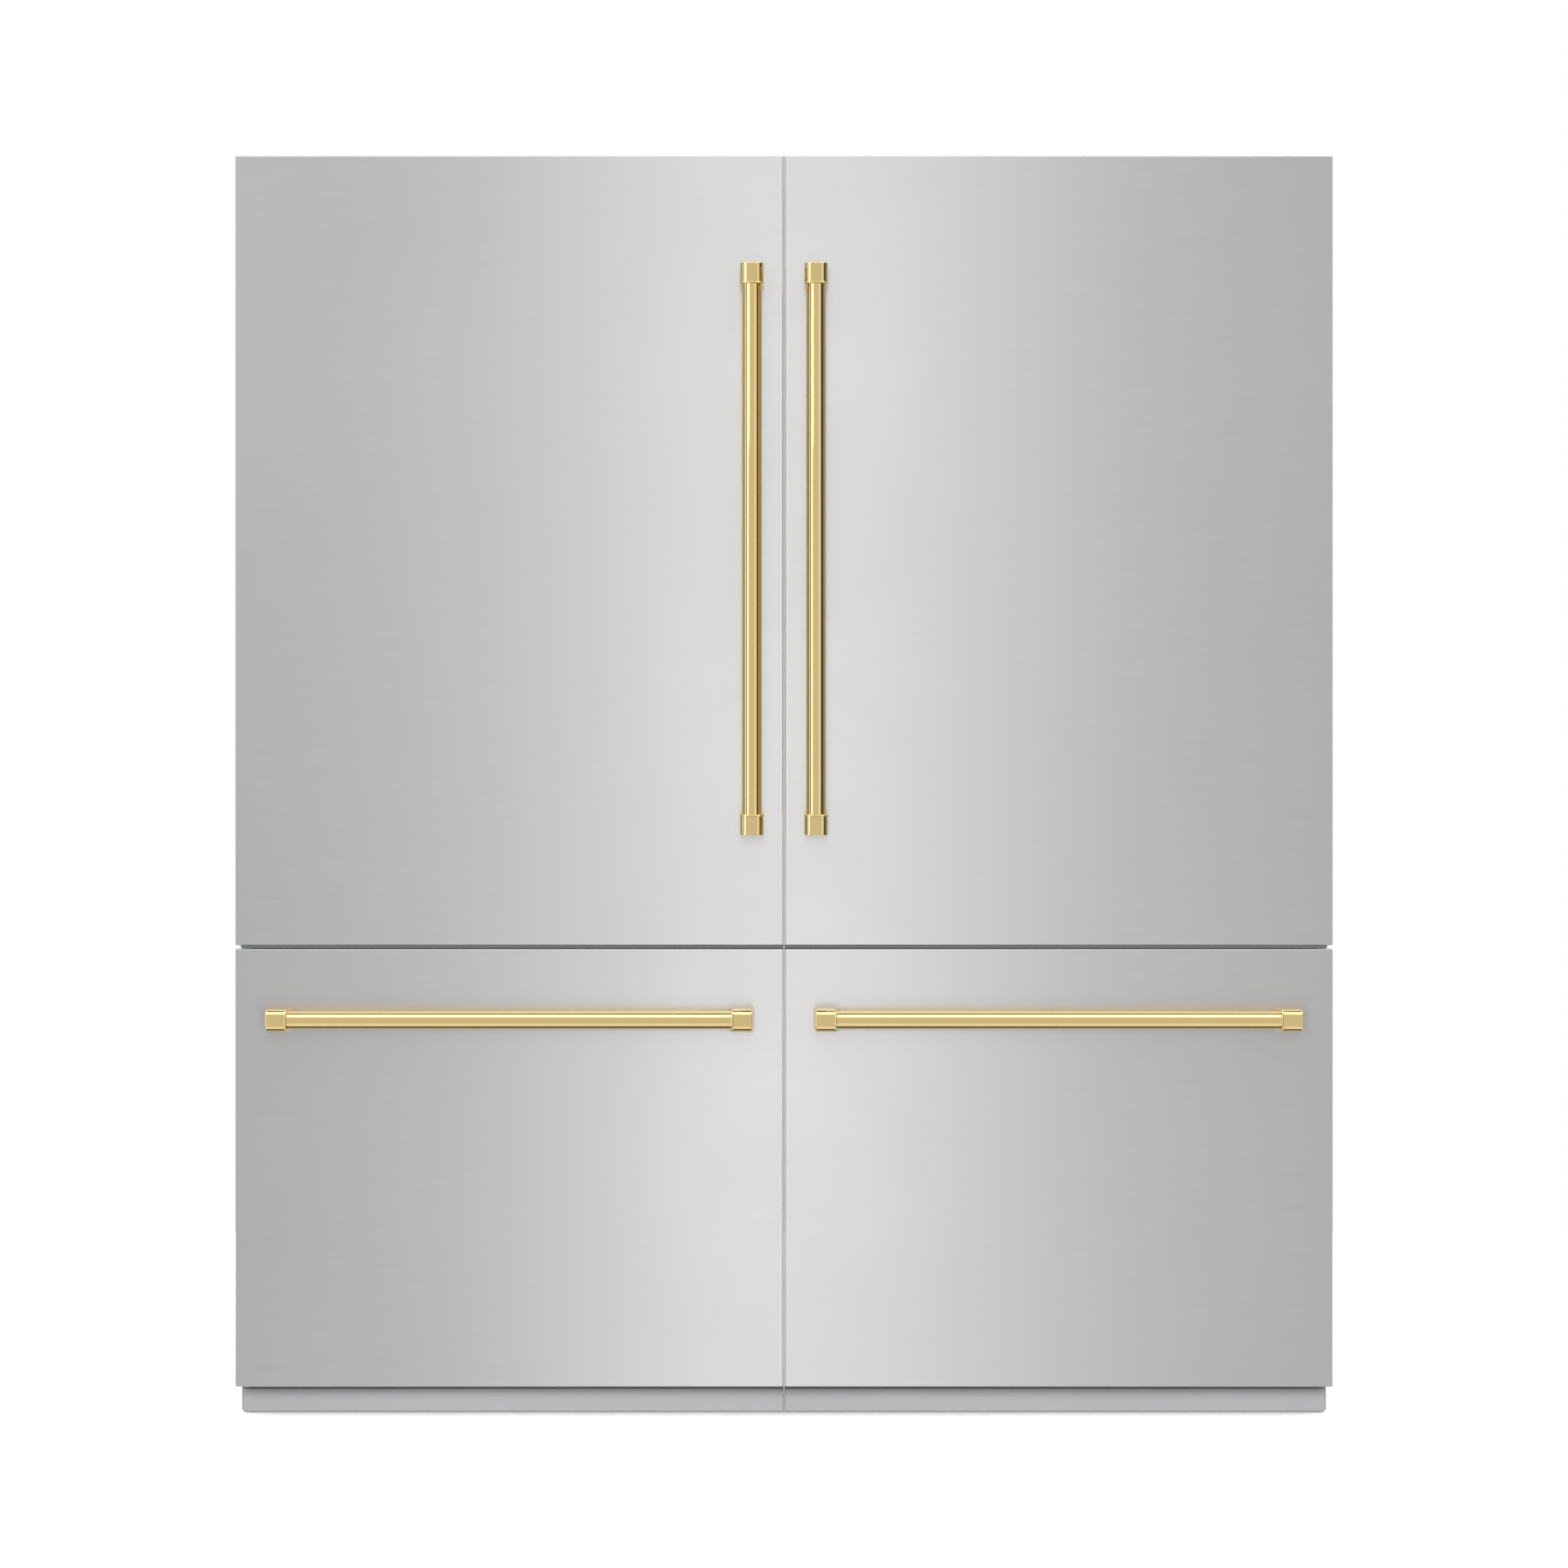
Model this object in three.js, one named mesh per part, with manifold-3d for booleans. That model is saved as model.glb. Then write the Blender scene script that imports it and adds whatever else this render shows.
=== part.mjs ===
// A built-in French door refrigerator: two mirrored 36 inch columns side by side.
// Each column has a cold compartment behind a tall hinged door, and a freezer behind a pull-out drawer front.
// Millimetres. +X is to the right, +Z is up, and the doors face -Y. The origin is on the floor, at the middle
// of the overall footprint, handles included.

import * as THREE from 'three';
import { mergeVertices } from 'three/addons/utils/BufferGeometryUtils.js';
import Module from 'manifold-3d';

const wasm = await Module();
wasm.setup();

// ---- Driving dimensions ----

const FIT = 0.3; // gap between two pieces that rest on each other
const PAIR_WIDTH = 1828.8; // across both columns' fronts, 72 inches
const SEAM = 2; // gap between the left and the right fronts
const DEPTH = 630; // front face of the doors to the back of the case
const HANDLE_REACH = 63; // front face of the doors to the front of the handles
const DRAWER_BOTTOM = 50; // floor to the drawer fronts
const DRAWER_HEIGHT = 730;
const FRONTS_GAP = 6; // between a drawer front and the door above it
const DOOR_HEIGHT = 1316;

// ---- Places worked out from them ----

const FRONT_Y = HANDLE_REACH - (DEPTH + HANDLE_REACH) / 2;
const INNER_EDGE = SEAM / 2; // a front's edge beside the seam, in a column's own x
const OUTER_EDGE = PAIR_WIDTH / 2;
const DRAWER_TOP = DRAWER_BOTTOM + DRAWER_HEIGHT;
const DOOR_BOTTOM = DRAWER_TOP + FRONTS_GAP;
const DOOR_TOP = DOOR_BOTTOM + DOOR_HEIGHT;

// Depths are measured back from the front face of the doors.
const PAN_DEPTH = 20; // the folded steel pan on the face of a door
const PAN_SHEET = 1.5;
const CORE_BACK = 70; // back face of the insulated door behind the pan
const CASE_FRONT = 82;
const CASE_SHEET = 1.2;
const FOAM_FRONT = CASE_FRONT + CASE_SHEET + FIT;
const FOAM_BACK = DEPTH - CASE_SHEET - FIT;
const CAVITY_BACK = 583;

const CASE = { left: 1, right: OUTER_EDGE - 2, bottom: 40, top: DOOR_TOP - 14 };
const CAVITY_LEFT = 47.5;
const CAVITY_RIGHT = 866;
const COLD = { left: CAVITY_LEFT, right: CAVITY_RIGHT, bottom: 828, top: 2040 };
const FREEZER = { left: CAVITY_LEFT, right: CAVITY_RIGHT, bottom: 108, top: 724 };
const MACHINE = { front: 440, top: 300 }; // the compartment behind and below the freezer
const STEP = { front: MACHINE.front - 44, top: MACHINE.top + 44 }; // the freezer's floor over it
const FOAM_BOTTOM = 62;

const PIVOT = { x: OUTER_EDGE - 16, depth: 32, pin: 6, eye: 11 };

const DYKE_CLEARANCE = 12; // between a door's raised inner rim and the compartment it enters
const DYKE_WIDTH = 26;
const DYKE_BACK = 96;

const SHELF = { front: 215, back: 578, left: 56, right: 857.5, glass: 6, trim: 12 };
const SHELF_HEIGHTS = { shelf_upper: 1690, shelf_lower: 1360, crisper_cover: 1030 };
const LEDGE = { reach: 12, height: 10 };

const BIN = { back: CORE_BACK + FIT, front: 190, wall: 3, height: 120 };
const BIN_BOTTOMS = { bin_upper: 1700, bin_lower: 1060 };

const CRISPER = { front: 235, back: 570, bottom: 836, top: 1000, wall: 3 };
const CRISPER_SPANS = { crisper_inner: [60, 452], crisper_outer: [461, 853] };

const RAIL = { left: 62, right: 851.5, width: 20, bottom: 470, top: 490, back: 560 };
const BASKET = { left: 92, right: 821.5, front: 100, back: 545, bottom: 130, wall: 3, rim: 4, overhang: 16 };
const BASKET_STEP = { front: 378, bottom: 360 }; // clears the freezer's floor over the machine compartment
const TRAY = { left: 66, right: 847.5, front: 104, back: 344, height: 105, wall: 3 };

const BAR_RADIUS = 15.75;
const BAR_WALL = 1.6;
const BAR_STAND = 44; // door face to the bar's axis
const SOCKET_START = 12; // from the bracket's closed end
const BRACKET = { foot: 45, width: 38, corner: 13, taperEnd: 46, outer: 3.7, inner: 7.3 };
const DOOR_HANDLE = { x: 53.2, bottom: 966, length: 956 };
const DRAWER_HANDLE = { x: 49, height: 663, length: 813 };

// ---- Materials ----

const steel = new THREE.MeshStandardMaterial({ color: '#c9c9c9', roughness: 0.35, metalness: 1 });
const gold = new THREE.MeshStandardMaterial({ color: '#d3b775', roughness: 0.12, metalness: 1 });
const zinc = new THREE.MeshStandardMaterial({ color: '#9a9d9f', roughness: 0.5, metalness: 0.8 });
const liner = new THREE.MeshStandardMaterial({ color: '#eef0f1', roughness: 0.4, metalness: 0 });
const seal = new THREE.MeshStandardMaterial({ color: '#7d7f81', roughness: 0.7, metalness: 0 });
const clear = new THREE.MeshStandardMaterial({ color: '#e3edf0', roughness: 0.15, metalness: 0 });
const dark = new THREE.MeshStandardMaterial({ color: '#1c1d1e', roughness: 0.5, metalness: 0.3 });

// ---- Solids ----

const at = (depth) => FRONT_Y + depth;

// A closed geometry as a solid that can be joined and cut.
function solidOf(geometry) {
  const bare = (geometry.index ? geometry.toNonIndexed() : geometry).clone();
  bare.deleteAttribute('normal');
  bare.deleteAttribute('uv');
  const merged = mergeVertices(bare, 1e-4);
  const triVerts = new Uint32Array(merged.index.array);
  return new wasm.Manifold(
    new wasm.Mesh({ numProp: 3, vertProperties: merged.attributes.position.array, triVerts }),
  );
}

function geometryOf(solid) {
  const { vertProperties, triVerts } = solid.getMesh();
  const geometry = new THREE.BufferGeometry();
  geometry.setAttribute('position', new THREE.BufferAttribute(vertProperties, 3));
  geometry.setIndex(new THREE.BufferAttribute(triVerts, 1));
  return geometry;
}

const joined = (...geometries) => geometryOf(geometries.map(solidOf).reduce((all, next) => all.add(next)));

const cut = (base, ...tools) =>
  geometryOf(tools.map(solidOf).reduce((left, tool) => left.subtract(tool), solidOf(base)));

const common = (a, b) => geometryOf(solidOf(a).intersect(solidOf(b)));

// A block between two x, two depths and two heights.
function block([x0, x1], [front, back], [z0, z1]) {
  const geometry = new THREE.BoxGeometry(x1 - x0, back - front, z1 - z0);
  return geometry.translate((x0 + x1) / 2, at((front + back) / 2), (z0 + z1) / 2);
}

// An upright cylinder at a column's x and depth.
function post(x, depth, radius, [z0, z1], sides = 24) {
  const geometry = new THREE.CylinderGeometry(radius, radius, z1 - z0, sides);
  return geometry.rotateX(Math.PI / 2).translate(x, at(depth), (z0 + z1) / 2);
}

// An outline drawn as seen from the front, x to the right and z up, made solid between two depths.
function fromFront(shape, [front, back]) {
  const geometry = new THREE.ExtrudeGeometry(shape, { depth: back - front, bevelEnabled: false });
  return geometry.rotateX(Math.PI / 2).translate(0, at(back), 0);
}

// An outline drawn as seen from above, x to the right and depth up, made solid between two heights.
function fromAbove(shape, [z0, z1], curveSegments = 12) {
  const geometry = new THREE.ExtrudeGeometry(shape, { depth: z1 - z0, bevelEnabled: false, curveSegments });
  return geometry.translate(0, FRONT_Y, z0);
}

// An outline of depth and height, made solid between two x.
function alongX(shape, [x0, x1]) {
  const geometry = new THREE.ExtrudeGeometry(shape, { depth: x1 - x0, bevelEnabled: false });
  return geometry.applyMatrix4(turned([0, 1, 0], [0, 0, 1], [1, 0, 0])).translate(x0, FRONT_Y, 0);
}

// The turn that takes the three axes to the three given directions.
function turned(...axes) {
  return new THREE.Matrix4().makeBasis(...axes.map((axis) => new THREE.Vector3(...axis)));
}

function polygon(points) {
  return new THREE.Shape(points.map(([x, y]) => new THREE.Vector2(x, y)));
}

// A flat frame as seen from the front: an outer box with the opening that its width leaves.
function frame({ left, right, bottom, top }, width, depths) {
  const shape = polygon([[left, bottom], [right, bottom], [right, top], [left, top]]);
  const [x0, x1, z0, z1] = [left + width, right - width, bottom + width, top - width];
  shape.holes.push(polygon([[x0, z0], [x0, z1], [x1, z1], [x1, z0]]));
  return fromFront(shape, depths);
}

const grown = ({ left, right, bottom, top }, by) => ({
  left: left - by,
  right: right + by,
  bottom: bottom - by,
  top: top + by,
});

// An open-topped tub with one wall thickness all round.
function tub([x0, x1], [front, back], [z0, z1], wall) {
  const hollow = block([x0 + wall, x1 - wall], [front + wall, back - wall], [z0 + wall, z1 + wall]);
  return cut(block([x0, x1], [front, back], [z0, z1]), hollow);
}

// ---- Cabinet ----

const opening = ({ left, right, bottom, top }, depths) => block([left, right], depths, [bottom, top]);

// The folded steel wrapper: top, sides, back and the flange that the door seals press on.
function outerCase() {
  const { left, right, bottom, top } = CASE;
  const inside = [left + CASE_SHEET, right - CASE_SHEET];
  const flange = [CASE_FRONT - 1, CASE_FRONT + CASE_SHEET + 1];
  return cut(
    block([left, right], [CASE_FRONT, DEPTH], [bottom, top]),
    block(inside, [CASE_FRONT + CASE_SHEET, DEPTH - CASE_SHEET], [bottom - 1, top - CASE_SHEET]),
    opening(COLD, flange),
    opening(FREEZER, flange),
    block([left + 30, right - 30], [DEPTH - 2 * CASE_SHEET, DEPTH + 1], [bottom - 1, MACHINE.top - 4]),
  );
}

// The foamed-in liner: the insulation, both compartments' walls and the ledges under the shelves.
function foamedLiner() {
  const inset = CASE_SHEET + FIT;
  const width = [CASE.left + inset, CASE.right - inset];
  const lower = { ...FREEZER, top: STEP.top + 1 };
  const upper = { ...FREEZER, bottom: STEP.top };
  const body = cut(
    block(width, [FOAM_FRONT, FOAM_BACK], [FOAM_BOTTOM, CASE.top - inset]),
    opening(COLD, [FOAM_FRONT - 1, CAVITY_BACK]),
    opening(upper, [FOAM_FRONT - 1, CAVITY_BACK]),
    opening(lower, [FOAM_FRONT - 1, STEP.front]),
    block([width[0] - 1, width[1] + 1], [MACHINE.front, FOAM_BACK + 1], [FOAM_BOTTOM - 1, MACHINE.top]),
  );
  const ledges = Object.values(SHELF_HEIGHTS).flatMap((shelfTop) => {
    const ledgeTop = shelfTop - SHELF.trim - FIT;
    const heights = [ledgeTop - LEDGE.height, ledgeTop];
    const depths = [SHELF.front, SHELF.back];
    return [
      block([CAVITY_LEFT - 1, CAVITY_LEFT + LEDGE.reach], depths, heights),
      block([CAVITY_RIGHT - LEDGE.reach, CAVITY_RIGHT + 1], depths, heights),
    ];
  });
  return joined(body, ...ledges);
}

// The steel base pan on four levelling feet.
function baseChassis() {
  const rimTop = FOAM_BOTTOM - FIT;
  const x = [CASE.left + 1.6, CASE.right - 1.6];
  const depths = [FOAM_FRONT, FOAM_BACK];
  const pan = tub(x, depths, [CASE.bottom, rimTop], 3);
  const feet = [60, 850].flatMap((footX) =>
    [130, 585].flatMap((footDepth) => [
      post(footX, footDepth, 21, [0, 8], 20),
      post(footX, footDepth, 7, [7, CASE.bottom + 1], 12),
    ]),
  );
  return joined(pan, ...feet);
}

// The plinth plate under the drawer front, with a folded top and folded ends.
function toeKick() {
  const [left, right, bottom, top] = [INNER_EDGE, 909, 2, 42];
  const chamfer = 4;
  const front = polygon([
    [left, bottom],
    [right - chamfer, bottom],
    [right, bottom + chamfer],
    [right, top],
    [left, top],
  ]);
  const recess = 50;
  const depths = [recess, CASE_FRONT - FIT];
  const shelf = block([left, right], depths, [top - PAN_SHEET, top]);
  const ends = [left, right - PAN_SHEET].map((x) =>
    block([x, x + PAN_SHEET], depths, [bottom + chamfer, top]),
  );
  return joined(fromFront(front, [recess, recess + PAN_SHEET]), shelf, ...ends);
}

// A hermetic compressor: a domed shell on a foot plate.
function compressor() {
  const [x, depth, base] = [700, 535, CASE.bottom + 3 + FIT];
  const profile = [[0, 0], [66, 0], [78, 22], [78, 105], [66, 140], [38, 160], [0, 166]];
  const shell = new THREE.LatheGeometry(profile.map(([r, h]) => new THREE.Vector2(r, h)), 28);
  shell.rotateX(Math.PI / 2).translate(x, at(depth), base + 12);
  const plate = block([x - 95, x + 95], [depth - 75, depth + 75], [base, base + 13]);
  return joined(shell, plate);
}

// The condenser: a finned block behind a fan shroud with a round mouth.
function condenser() {
  const [x0, x1, base, top] = [150, 380, CASE.bottom + 3 + FIT, 250];
  const [shroud, wall] = [40, 10];
  const mouth = new THREE.CylinderGeometry(76, 76, shroud, 28);
  mouth.rotateZ(Math.PI / 2).translate(x1 + wall + shroud / 2, at(535), (base + top) / 2);
  const fins = block([x0, x1 + 1], [460, 610], [base, top]);
  const hood = cut(block([x1, x1 + shroud], [450, 620], [base, top]), mouth);
  return joined(fins, hood);
}

// A glass shelf with a trim along its front edge and a stop along its back, seen from the side.
function shelf(top) {
  const { front, back, glass, trim } = SHELF;
  const side = polygon([
    [front, top - trim],
    [front + 12, top - trim],
    [front + 12, top - glass],
    [back, top - glass],
    [back, top + 10],
    [back - 4, top + 10],
    [back - 4, top],
    [front, top],
  ]);
  return alongX(side, [SHELF.left, SHELF.right]);
}

// The hinge arm from above: an eye round the pin and a straight arm back to the case.
function hingeArm(back) {
  const { x, depth, eye } = PIVOT;
  const arm = new THREE.Shape();
  arm.moveTo(x - eye, depth);
  arm.lineTo(x - 26, depth + 20);
  arm.lineTo(x - 26, back);
  arm.lineTo(x, back);
  arm.lineTo(x, depth + eye);
  arm.absarc(x, depth, eye, Math.PI / 2, -Math.PI, true);
  return arm;
}

const PIN_LENGTH = 26;

function hingeUpper() {
  const [bottom, top] = [CASE.top + FIT, CASE.top + 6 + FIT];
  return joined(
    fromAbove(hingeArm(170), [bottom, top]),
    post(PIVOT.x, PIVOT.depth, PIVOT.pin, [bottom - PIN_LENGTH, top]),
  );
}

function hingeLower() {
  const [bottom, top] = [DRAWER_TOP + 0.6, DOOR_BOTTOM - 0.6];
  const leafBack = CASE_FRONT - FIT;
  return joined(
    fromAbove(hingeArm(leafBack), [bottom, top]),
    post(PIVOT.x, PIVOT.depth, PIVOT.pin, [bottom, top + PIN_LENGTH]),
    block([PIVOT.x - 40, PIVOT.x - 2], [leafBack - 3, leafBack], [bottom - 17, top + 17]),
  );
}

// ---- Doors and drawer fronts ----

const DOOR = { left: INNER_EDGE, right: OUTER_EDGE, bottom: DOOR_BOTTOM, top: DOOR_TOP };
const DRAWER = { left: INNER_EDGE, right: OUTER_EDGE, bottom: DRAWER_BOTTOM, top: DRAWER_TOP };
const DOOR_CORE = { left: 6, right: OUTER_EDGE - 4, bottom: DOOR_BOTTOM + 5, top: CASE.top - 2 };
const DRAWER_CORE = { left: 6, right: OUTER_EDGE - 4, bottom: DRAWER_BOTTOM + 4, top: DRAWER_TOP - 5 };

// The face of a door: a steel pan, open at the back.
function facePan(face) {
  const hollow = opening(grown(face, -PAN_SHEET), [PAN_SHEET, PAN_DEPTH + 1]);
  return cut(opening(face, [0, PAN_DEPTH]), hollow);
}

// The insulated door behind the pan, with a raised rim round its inner face.
function insulatedCore(face, core, compartment) {
  const filler = opening(grown(face, -PAN_SHEET - FIT), [PAN_SHEET + FIT, PAN_DEPTH + 1]);
  const slab = opening(core, [PAN_DEPTH, CORE_BACK]);
  const rim = frame(grown(compartment, -DYKE_CLEARANCE), DYKE_WIDTH, [CORE_BACK - 1, DYKE_BACK]);
  return joined(filler, slab, rim);
}

function doorCore() {
  const hole = PIVOT.pin + 0.6;
  const sockets = [
    [DOOR_CORE.top - PIN_LENGTH - 2, DOOR_CORE.top + 1],
    [DOOR_CORE.bottom - 1, DOOR_CORE.bottom + PIN_LENGTH],
  ].map((heights) => post(PIVOT.x, PIVOT.depth, hole, heights));
  return cut(insulatedCore(DOOR, DOOR_CORE, COLD), ...sockets);
}

const drawerCore = () => insulatedCore(DRAWER, DRAWER_CORE, FREEZER);

// The magnetic seal on the back of a door.
function gasket(core) {
  return frame(grown(core, -20), 15, [CORE_BACK + FIT, CASE_FRONT - FIT]);
}

const rimInside = DYKE_CLEARANCE + DYKE_WIDTH;

function doorBin(bottom) {
  const x = [COLD.left + rimInside + 0.6, COLD.right - rimInside - 0.6];
  return tub(x, [BIN.back, BIN.front], [bottom, bottom + BIN.height], BIN.wall);
}

// ---- Freezer drawer ----

// The moving rails: two side channels, a plate on the drawer front and a bar across the back.
function drawerRails() {
  const { left, right, width, bottom, top, back } = RAIL;
  const front = DYKE_BACK + FIT;
  return joined(
    block([left, left + width], [front, back], [bottom, top]),
    block([right - width, right], [front, back], [bottom, top]),
    block([left, right], [front, front + 3], [bottom - 6, top]),
    block([left, right], [back - 12, back], [bottom, top]),
  );
}

const RIM_BOTTOM = RAIL.top + FIT;
const RIM_TOP = RIM_BOTTOM + BASKET.rim;

// The basket's outline from the side, shrunk by an inset and filled up to a height.
function steppedSide(inset, top) {
  const [front, back] = [BASKET.front + inset, BASKET.back - inset];
  return polygon([
    [front, BASKET.bottom + inset],
    [BASKET_STEP.front - inset, BASKET.bottom + inset],
    [BASKET_STEP.front - inset, BASKET_STEP.bottom + inset],
    [back, BASKET_STEP.bottom + inset],
    [back, top],
    [front, top],
  ]);
}

// The deep stepped basket, hung by its rim on the rails.
function freezerBasket() {
  const { left, right, front, back, wall, overhang } = BASKET;
  const body = alongX(steppedSide(0, RIM_TOP), [left, right]);
  const lip = block([left - overhang, right + overhang], [front, back], [RIM_BOTTOM, RIM_TOP]);
  const hollow = alongX(steppedSide(wall, RIM_TOP + 1), [left + wall, right - wall]);
  return cut(joined(body, lip), hollow);
}

// The shallow tray that slides back on the basket's rim.
function freezerTray() {
  const bottom = RIM_TOP + FIT;
  return tub([TRAY.left, TRAY.right], [TRAY.front, TRAY.back], [bottom, bottom + TRAY.height], TRAY.wall);
}

// A crisper pan with a pull lip along the top of its front.
function crisper([x0, x1]) {
  const { front, back, bottom, top, wall } = CRISPER;
  const lip = block([x0 + 20, x1 - 20], [front - 14, front + 1], [top - 12, top - 6]);
  return joined(tub([x0, x1], [front, back], [bottom, top], wall), lip);
}

// ---- Handles ----
// A handle is drawn lying along +X with its closed end at 0, standing out of a door face at y = 0 towards -Y.

function bracket() {
  const { foot, width, corner, taperEnd, outer, inner } = BRACKET;
  const half = width / 2;
  // Across the bar: flat sides and a front rounded at both corners.
  const section = new THREE.Shape();
  section.moveTo(0, -half);
  section.lineTo(HANDLE_REACH - corner, -half);
  section.absarc(HANDLE_REACH - corner, corner - half, corner, -Math.PI / 2, 0, false);
  section.absarc(HANDLE_REACH - corner, half - corner, corner, 0, Math.PI / 2, false);
  section.lineTo(0, half);
  const body = new THREE.ExtrudeGeometry(section, { depth: foot, bevelEnabled: false, curveSegments: 6 });
  body.applyMatrix4(turned([0, -1, 0], [0, 0, -1], [1, 0, 0]));
  // Along the bar: the foot flares towards the door.
  const plan = polygon([
    [0, 0],
    [outer, -taperEnd],
    [outer, -HANDLE_REACH + 4],
    [outer + 4, -HANDLE_REACH],
    [foot - inner, -HANDLE_REACH],
    [foot - inner, -taperEnd],
    [foot, 0],
  ]);
  const flare = new THREE.ExtrudeGeometry(plan, { depth: width + 2, bevelEnabled: false });
  flare.translate(0, 0, -half - 1);
  const socket = new THREE.CylinderGeometry(BAR_RADIUS + FIT, BAR_RADIUS + FIT, foot, 28);
  socket.rotateZ(Math.PI / 2).translate(SOCKET_START + foot / 2, -BAR_STAND, 0);
  return cut(common(body, flare), socket);
}

function bar(length) {
  const [start, end] = [SOCKET_START + FIT, length - SOCKET_START - FIT];
  const bore = BAR_RADIUS - BAR_WALL;
  const wall = [[bore, start], [BAR_RADIUS, start], [BAR_RADIUS, end], [bore, end], [bore, start]];
  const tube = new THREE.LatheGeometry(wall.map(([r, h]) => new THREE.Vector2(r, h)), 28);
  return tube.rotateZ(-Math.PI / 2).translate(0, -BAR_STAND, 0);
}

// One bar in two brackets, the second mirrored. The caller places and turns the group.
function handle(length, barName, firstName, secondName) {
  const group = new THREE.Group();
  const second = named(secondName, bracket(), gold);
  second.position.x = length;
  second.scale.x = -1;
  group.add(named(barName, bar(length), gold), named(firstName, bracket(), gold), second);
  return group;
}

// ---- Assembly ----

function named(name, geometry, material) {
  const mesh = new THREE.Mesh(geometry, material);
  mesh.name = name;
  return mesh;
}

function column(side) {
  const group = new THREE.Group();
  const add = (name, geometry, material) => group.add(named(`${side}_${name}`, geometry, material));

  add('outer_case', outerCase(), zinc);
  add('foamed_liner', foamedLiner(), liner);
  add('base_chassis', baseChassis(), zinc);
  add('toe_kick', toeKick(), steel);
  add('compressor', compressor(), dark);
  add('condenser', condenser(), zinc);
  for (const [name, top] of Object.entries(SHELF_HEIGHTS)) add(name, shelf(top), clear);
  add('hinge_upper', hingeUpper(), zinc);
  add('hinge_lower', hingeLower(), zinc);

  add('door_panel', facePan(DOOR), steel);
  add('door_core', doorCore(), liner);
  add('door_gasket', gasket(DOOR_CORE), seal);
  for (const [name, bottom] of Object.entries(BIN_BOTTOMS)) add(name, doorBin(bottom), clear);

  add('drawer_panel', facePan(DRAWER), steel);
  add('drawer_core', drawerCore(), liner);
  add('drawer_gasket', gasket(DRAWER_CORE), seal);
  add('drawer_rails', drawerRails(), zinc);
  add('freezer_basket', freezerBasket(), clear);
  add('freezer_tray', freezerTray(), clear);
  for (const [name, span] of Object.entries(CRISPER_SPANS)) add(name, crisper(span), clear);

  const doorHandle = handle(
    DOOR_HANDLE.length,
    `${side}_door_handle_bar`,
    `${side}_door_bracket_lower`,
    `${side}_door_bracket_upper`,
  );
  doorHandle.rotation.y = -Math.PI / 2;
  doorHandle.position.set(DOOR_HANDLE.x, FRONT_Y, DOOR_HANDLE.bottom);

  const drawerHandle = handle(
    DRAWER_HANDLE.length,
    `${side}_drawer_handle_bar`,
    `${side}_drawer_bracket_inner`,
    `${side}_drawer_bracket_outer`,
  );
  drawerHandle.position.set(DRAWER_HANDLE.x, FRONT_Y, DRAWER_HANDLE.height);

  group.add(doorHandle, drawerHandle);
  return group;
}

const refrigerator = new THREE.Group();
const rightColumn = column('right');
const leftColumn = column('left');
leftColumn.scale.x = -1;
refrigerator.add(leftColumn, rightColumn);

export default refrigerator;
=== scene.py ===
# %% [markdown]
# # A built-in French door refrigerator
# Two 36 inch columns stand side by side and mirror each other. Each has a cold compartment behind a hinged
# door and a freezer behind a drawer front. The CAD model of it is loaded first and stays as it is. It says
# where each thing is and how it moves, and this lesson builds the finished surfaces around it.

# %% Load the CAD frame
import math

import bmesh
import bpy
from mathutils import Matrix, Vector


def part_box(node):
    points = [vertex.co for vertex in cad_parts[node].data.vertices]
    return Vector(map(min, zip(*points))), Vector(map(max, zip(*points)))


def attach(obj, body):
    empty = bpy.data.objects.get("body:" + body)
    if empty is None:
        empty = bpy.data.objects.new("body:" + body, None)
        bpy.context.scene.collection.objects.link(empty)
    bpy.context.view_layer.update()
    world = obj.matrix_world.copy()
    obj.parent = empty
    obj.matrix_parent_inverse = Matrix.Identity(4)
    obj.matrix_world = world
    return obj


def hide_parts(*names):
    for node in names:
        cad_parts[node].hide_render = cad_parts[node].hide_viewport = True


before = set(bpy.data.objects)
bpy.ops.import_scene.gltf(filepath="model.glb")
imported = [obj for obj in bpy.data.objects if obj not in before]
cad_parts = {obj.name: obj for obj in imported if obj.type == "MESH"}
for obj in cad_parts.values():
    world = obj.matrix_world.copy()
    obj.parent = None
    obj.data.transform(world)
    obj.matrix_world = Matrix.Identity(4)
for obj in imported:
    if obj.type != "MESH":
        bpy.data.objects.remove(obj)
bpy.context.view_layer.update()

# %% [markdown]
# ## Places
# Everything is in metres. The right-hand column is modelled, and its mirror image makes the left one. Depths
# are measured back from the front face of the doors, as a kitchen fitter would measure them.

# %% Measures taken from the frame
MM = 0.001


def at(node):
    """Lowest and highest corner of a node of the right-hand column."""
    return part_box(f"right_{node}")


FRONT = at("door_panel")[0].y


def mm(*values):
    """Millimetres as metres."""
    return tuple(v * MM for v in values)


def depth(millimetres):
    """The y of a depth behind the front face of the doors."""
    return FRONT + millimetres * MM


def depths(*values):
    """Several depths as y."""
    return tuple(depth(v) for v in values)


def measured(pairs, base=0.0):
    """Points of (radius, height) in millimetres, with the heights counted from a base in metres."""
    return [(a * MM, base + b * MM) for a, b in pairs]


def by_depth(pairs):
    """Points of (distance, depth) in millimetres."""
    return [(a * MM, depth(b)) for a, b in pairs]


case_lo, case_hi = at("outer_case")
door_lo, door_hi = at("door_panel")
drawer_lo, drawer_hi = at("drawer_panel")
print("fronts from", round(drawer_lo.z, 3), "to", round(door_hi.z, 3), "m above the floor")

# %% [markdown]
# ## Shapes
# Most pieces of a refrigerator are folded sheet, moulded tubs or turned metal. So a handful of shapes is
# enough: a rounded block, an open box with walls, a sheet with holes, an extruded outline, a ring with one
# section all round, and a turned solid. Each comes from a bmesh operator and returns its own bmesh, and
# several are merged into a piece.

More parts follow.
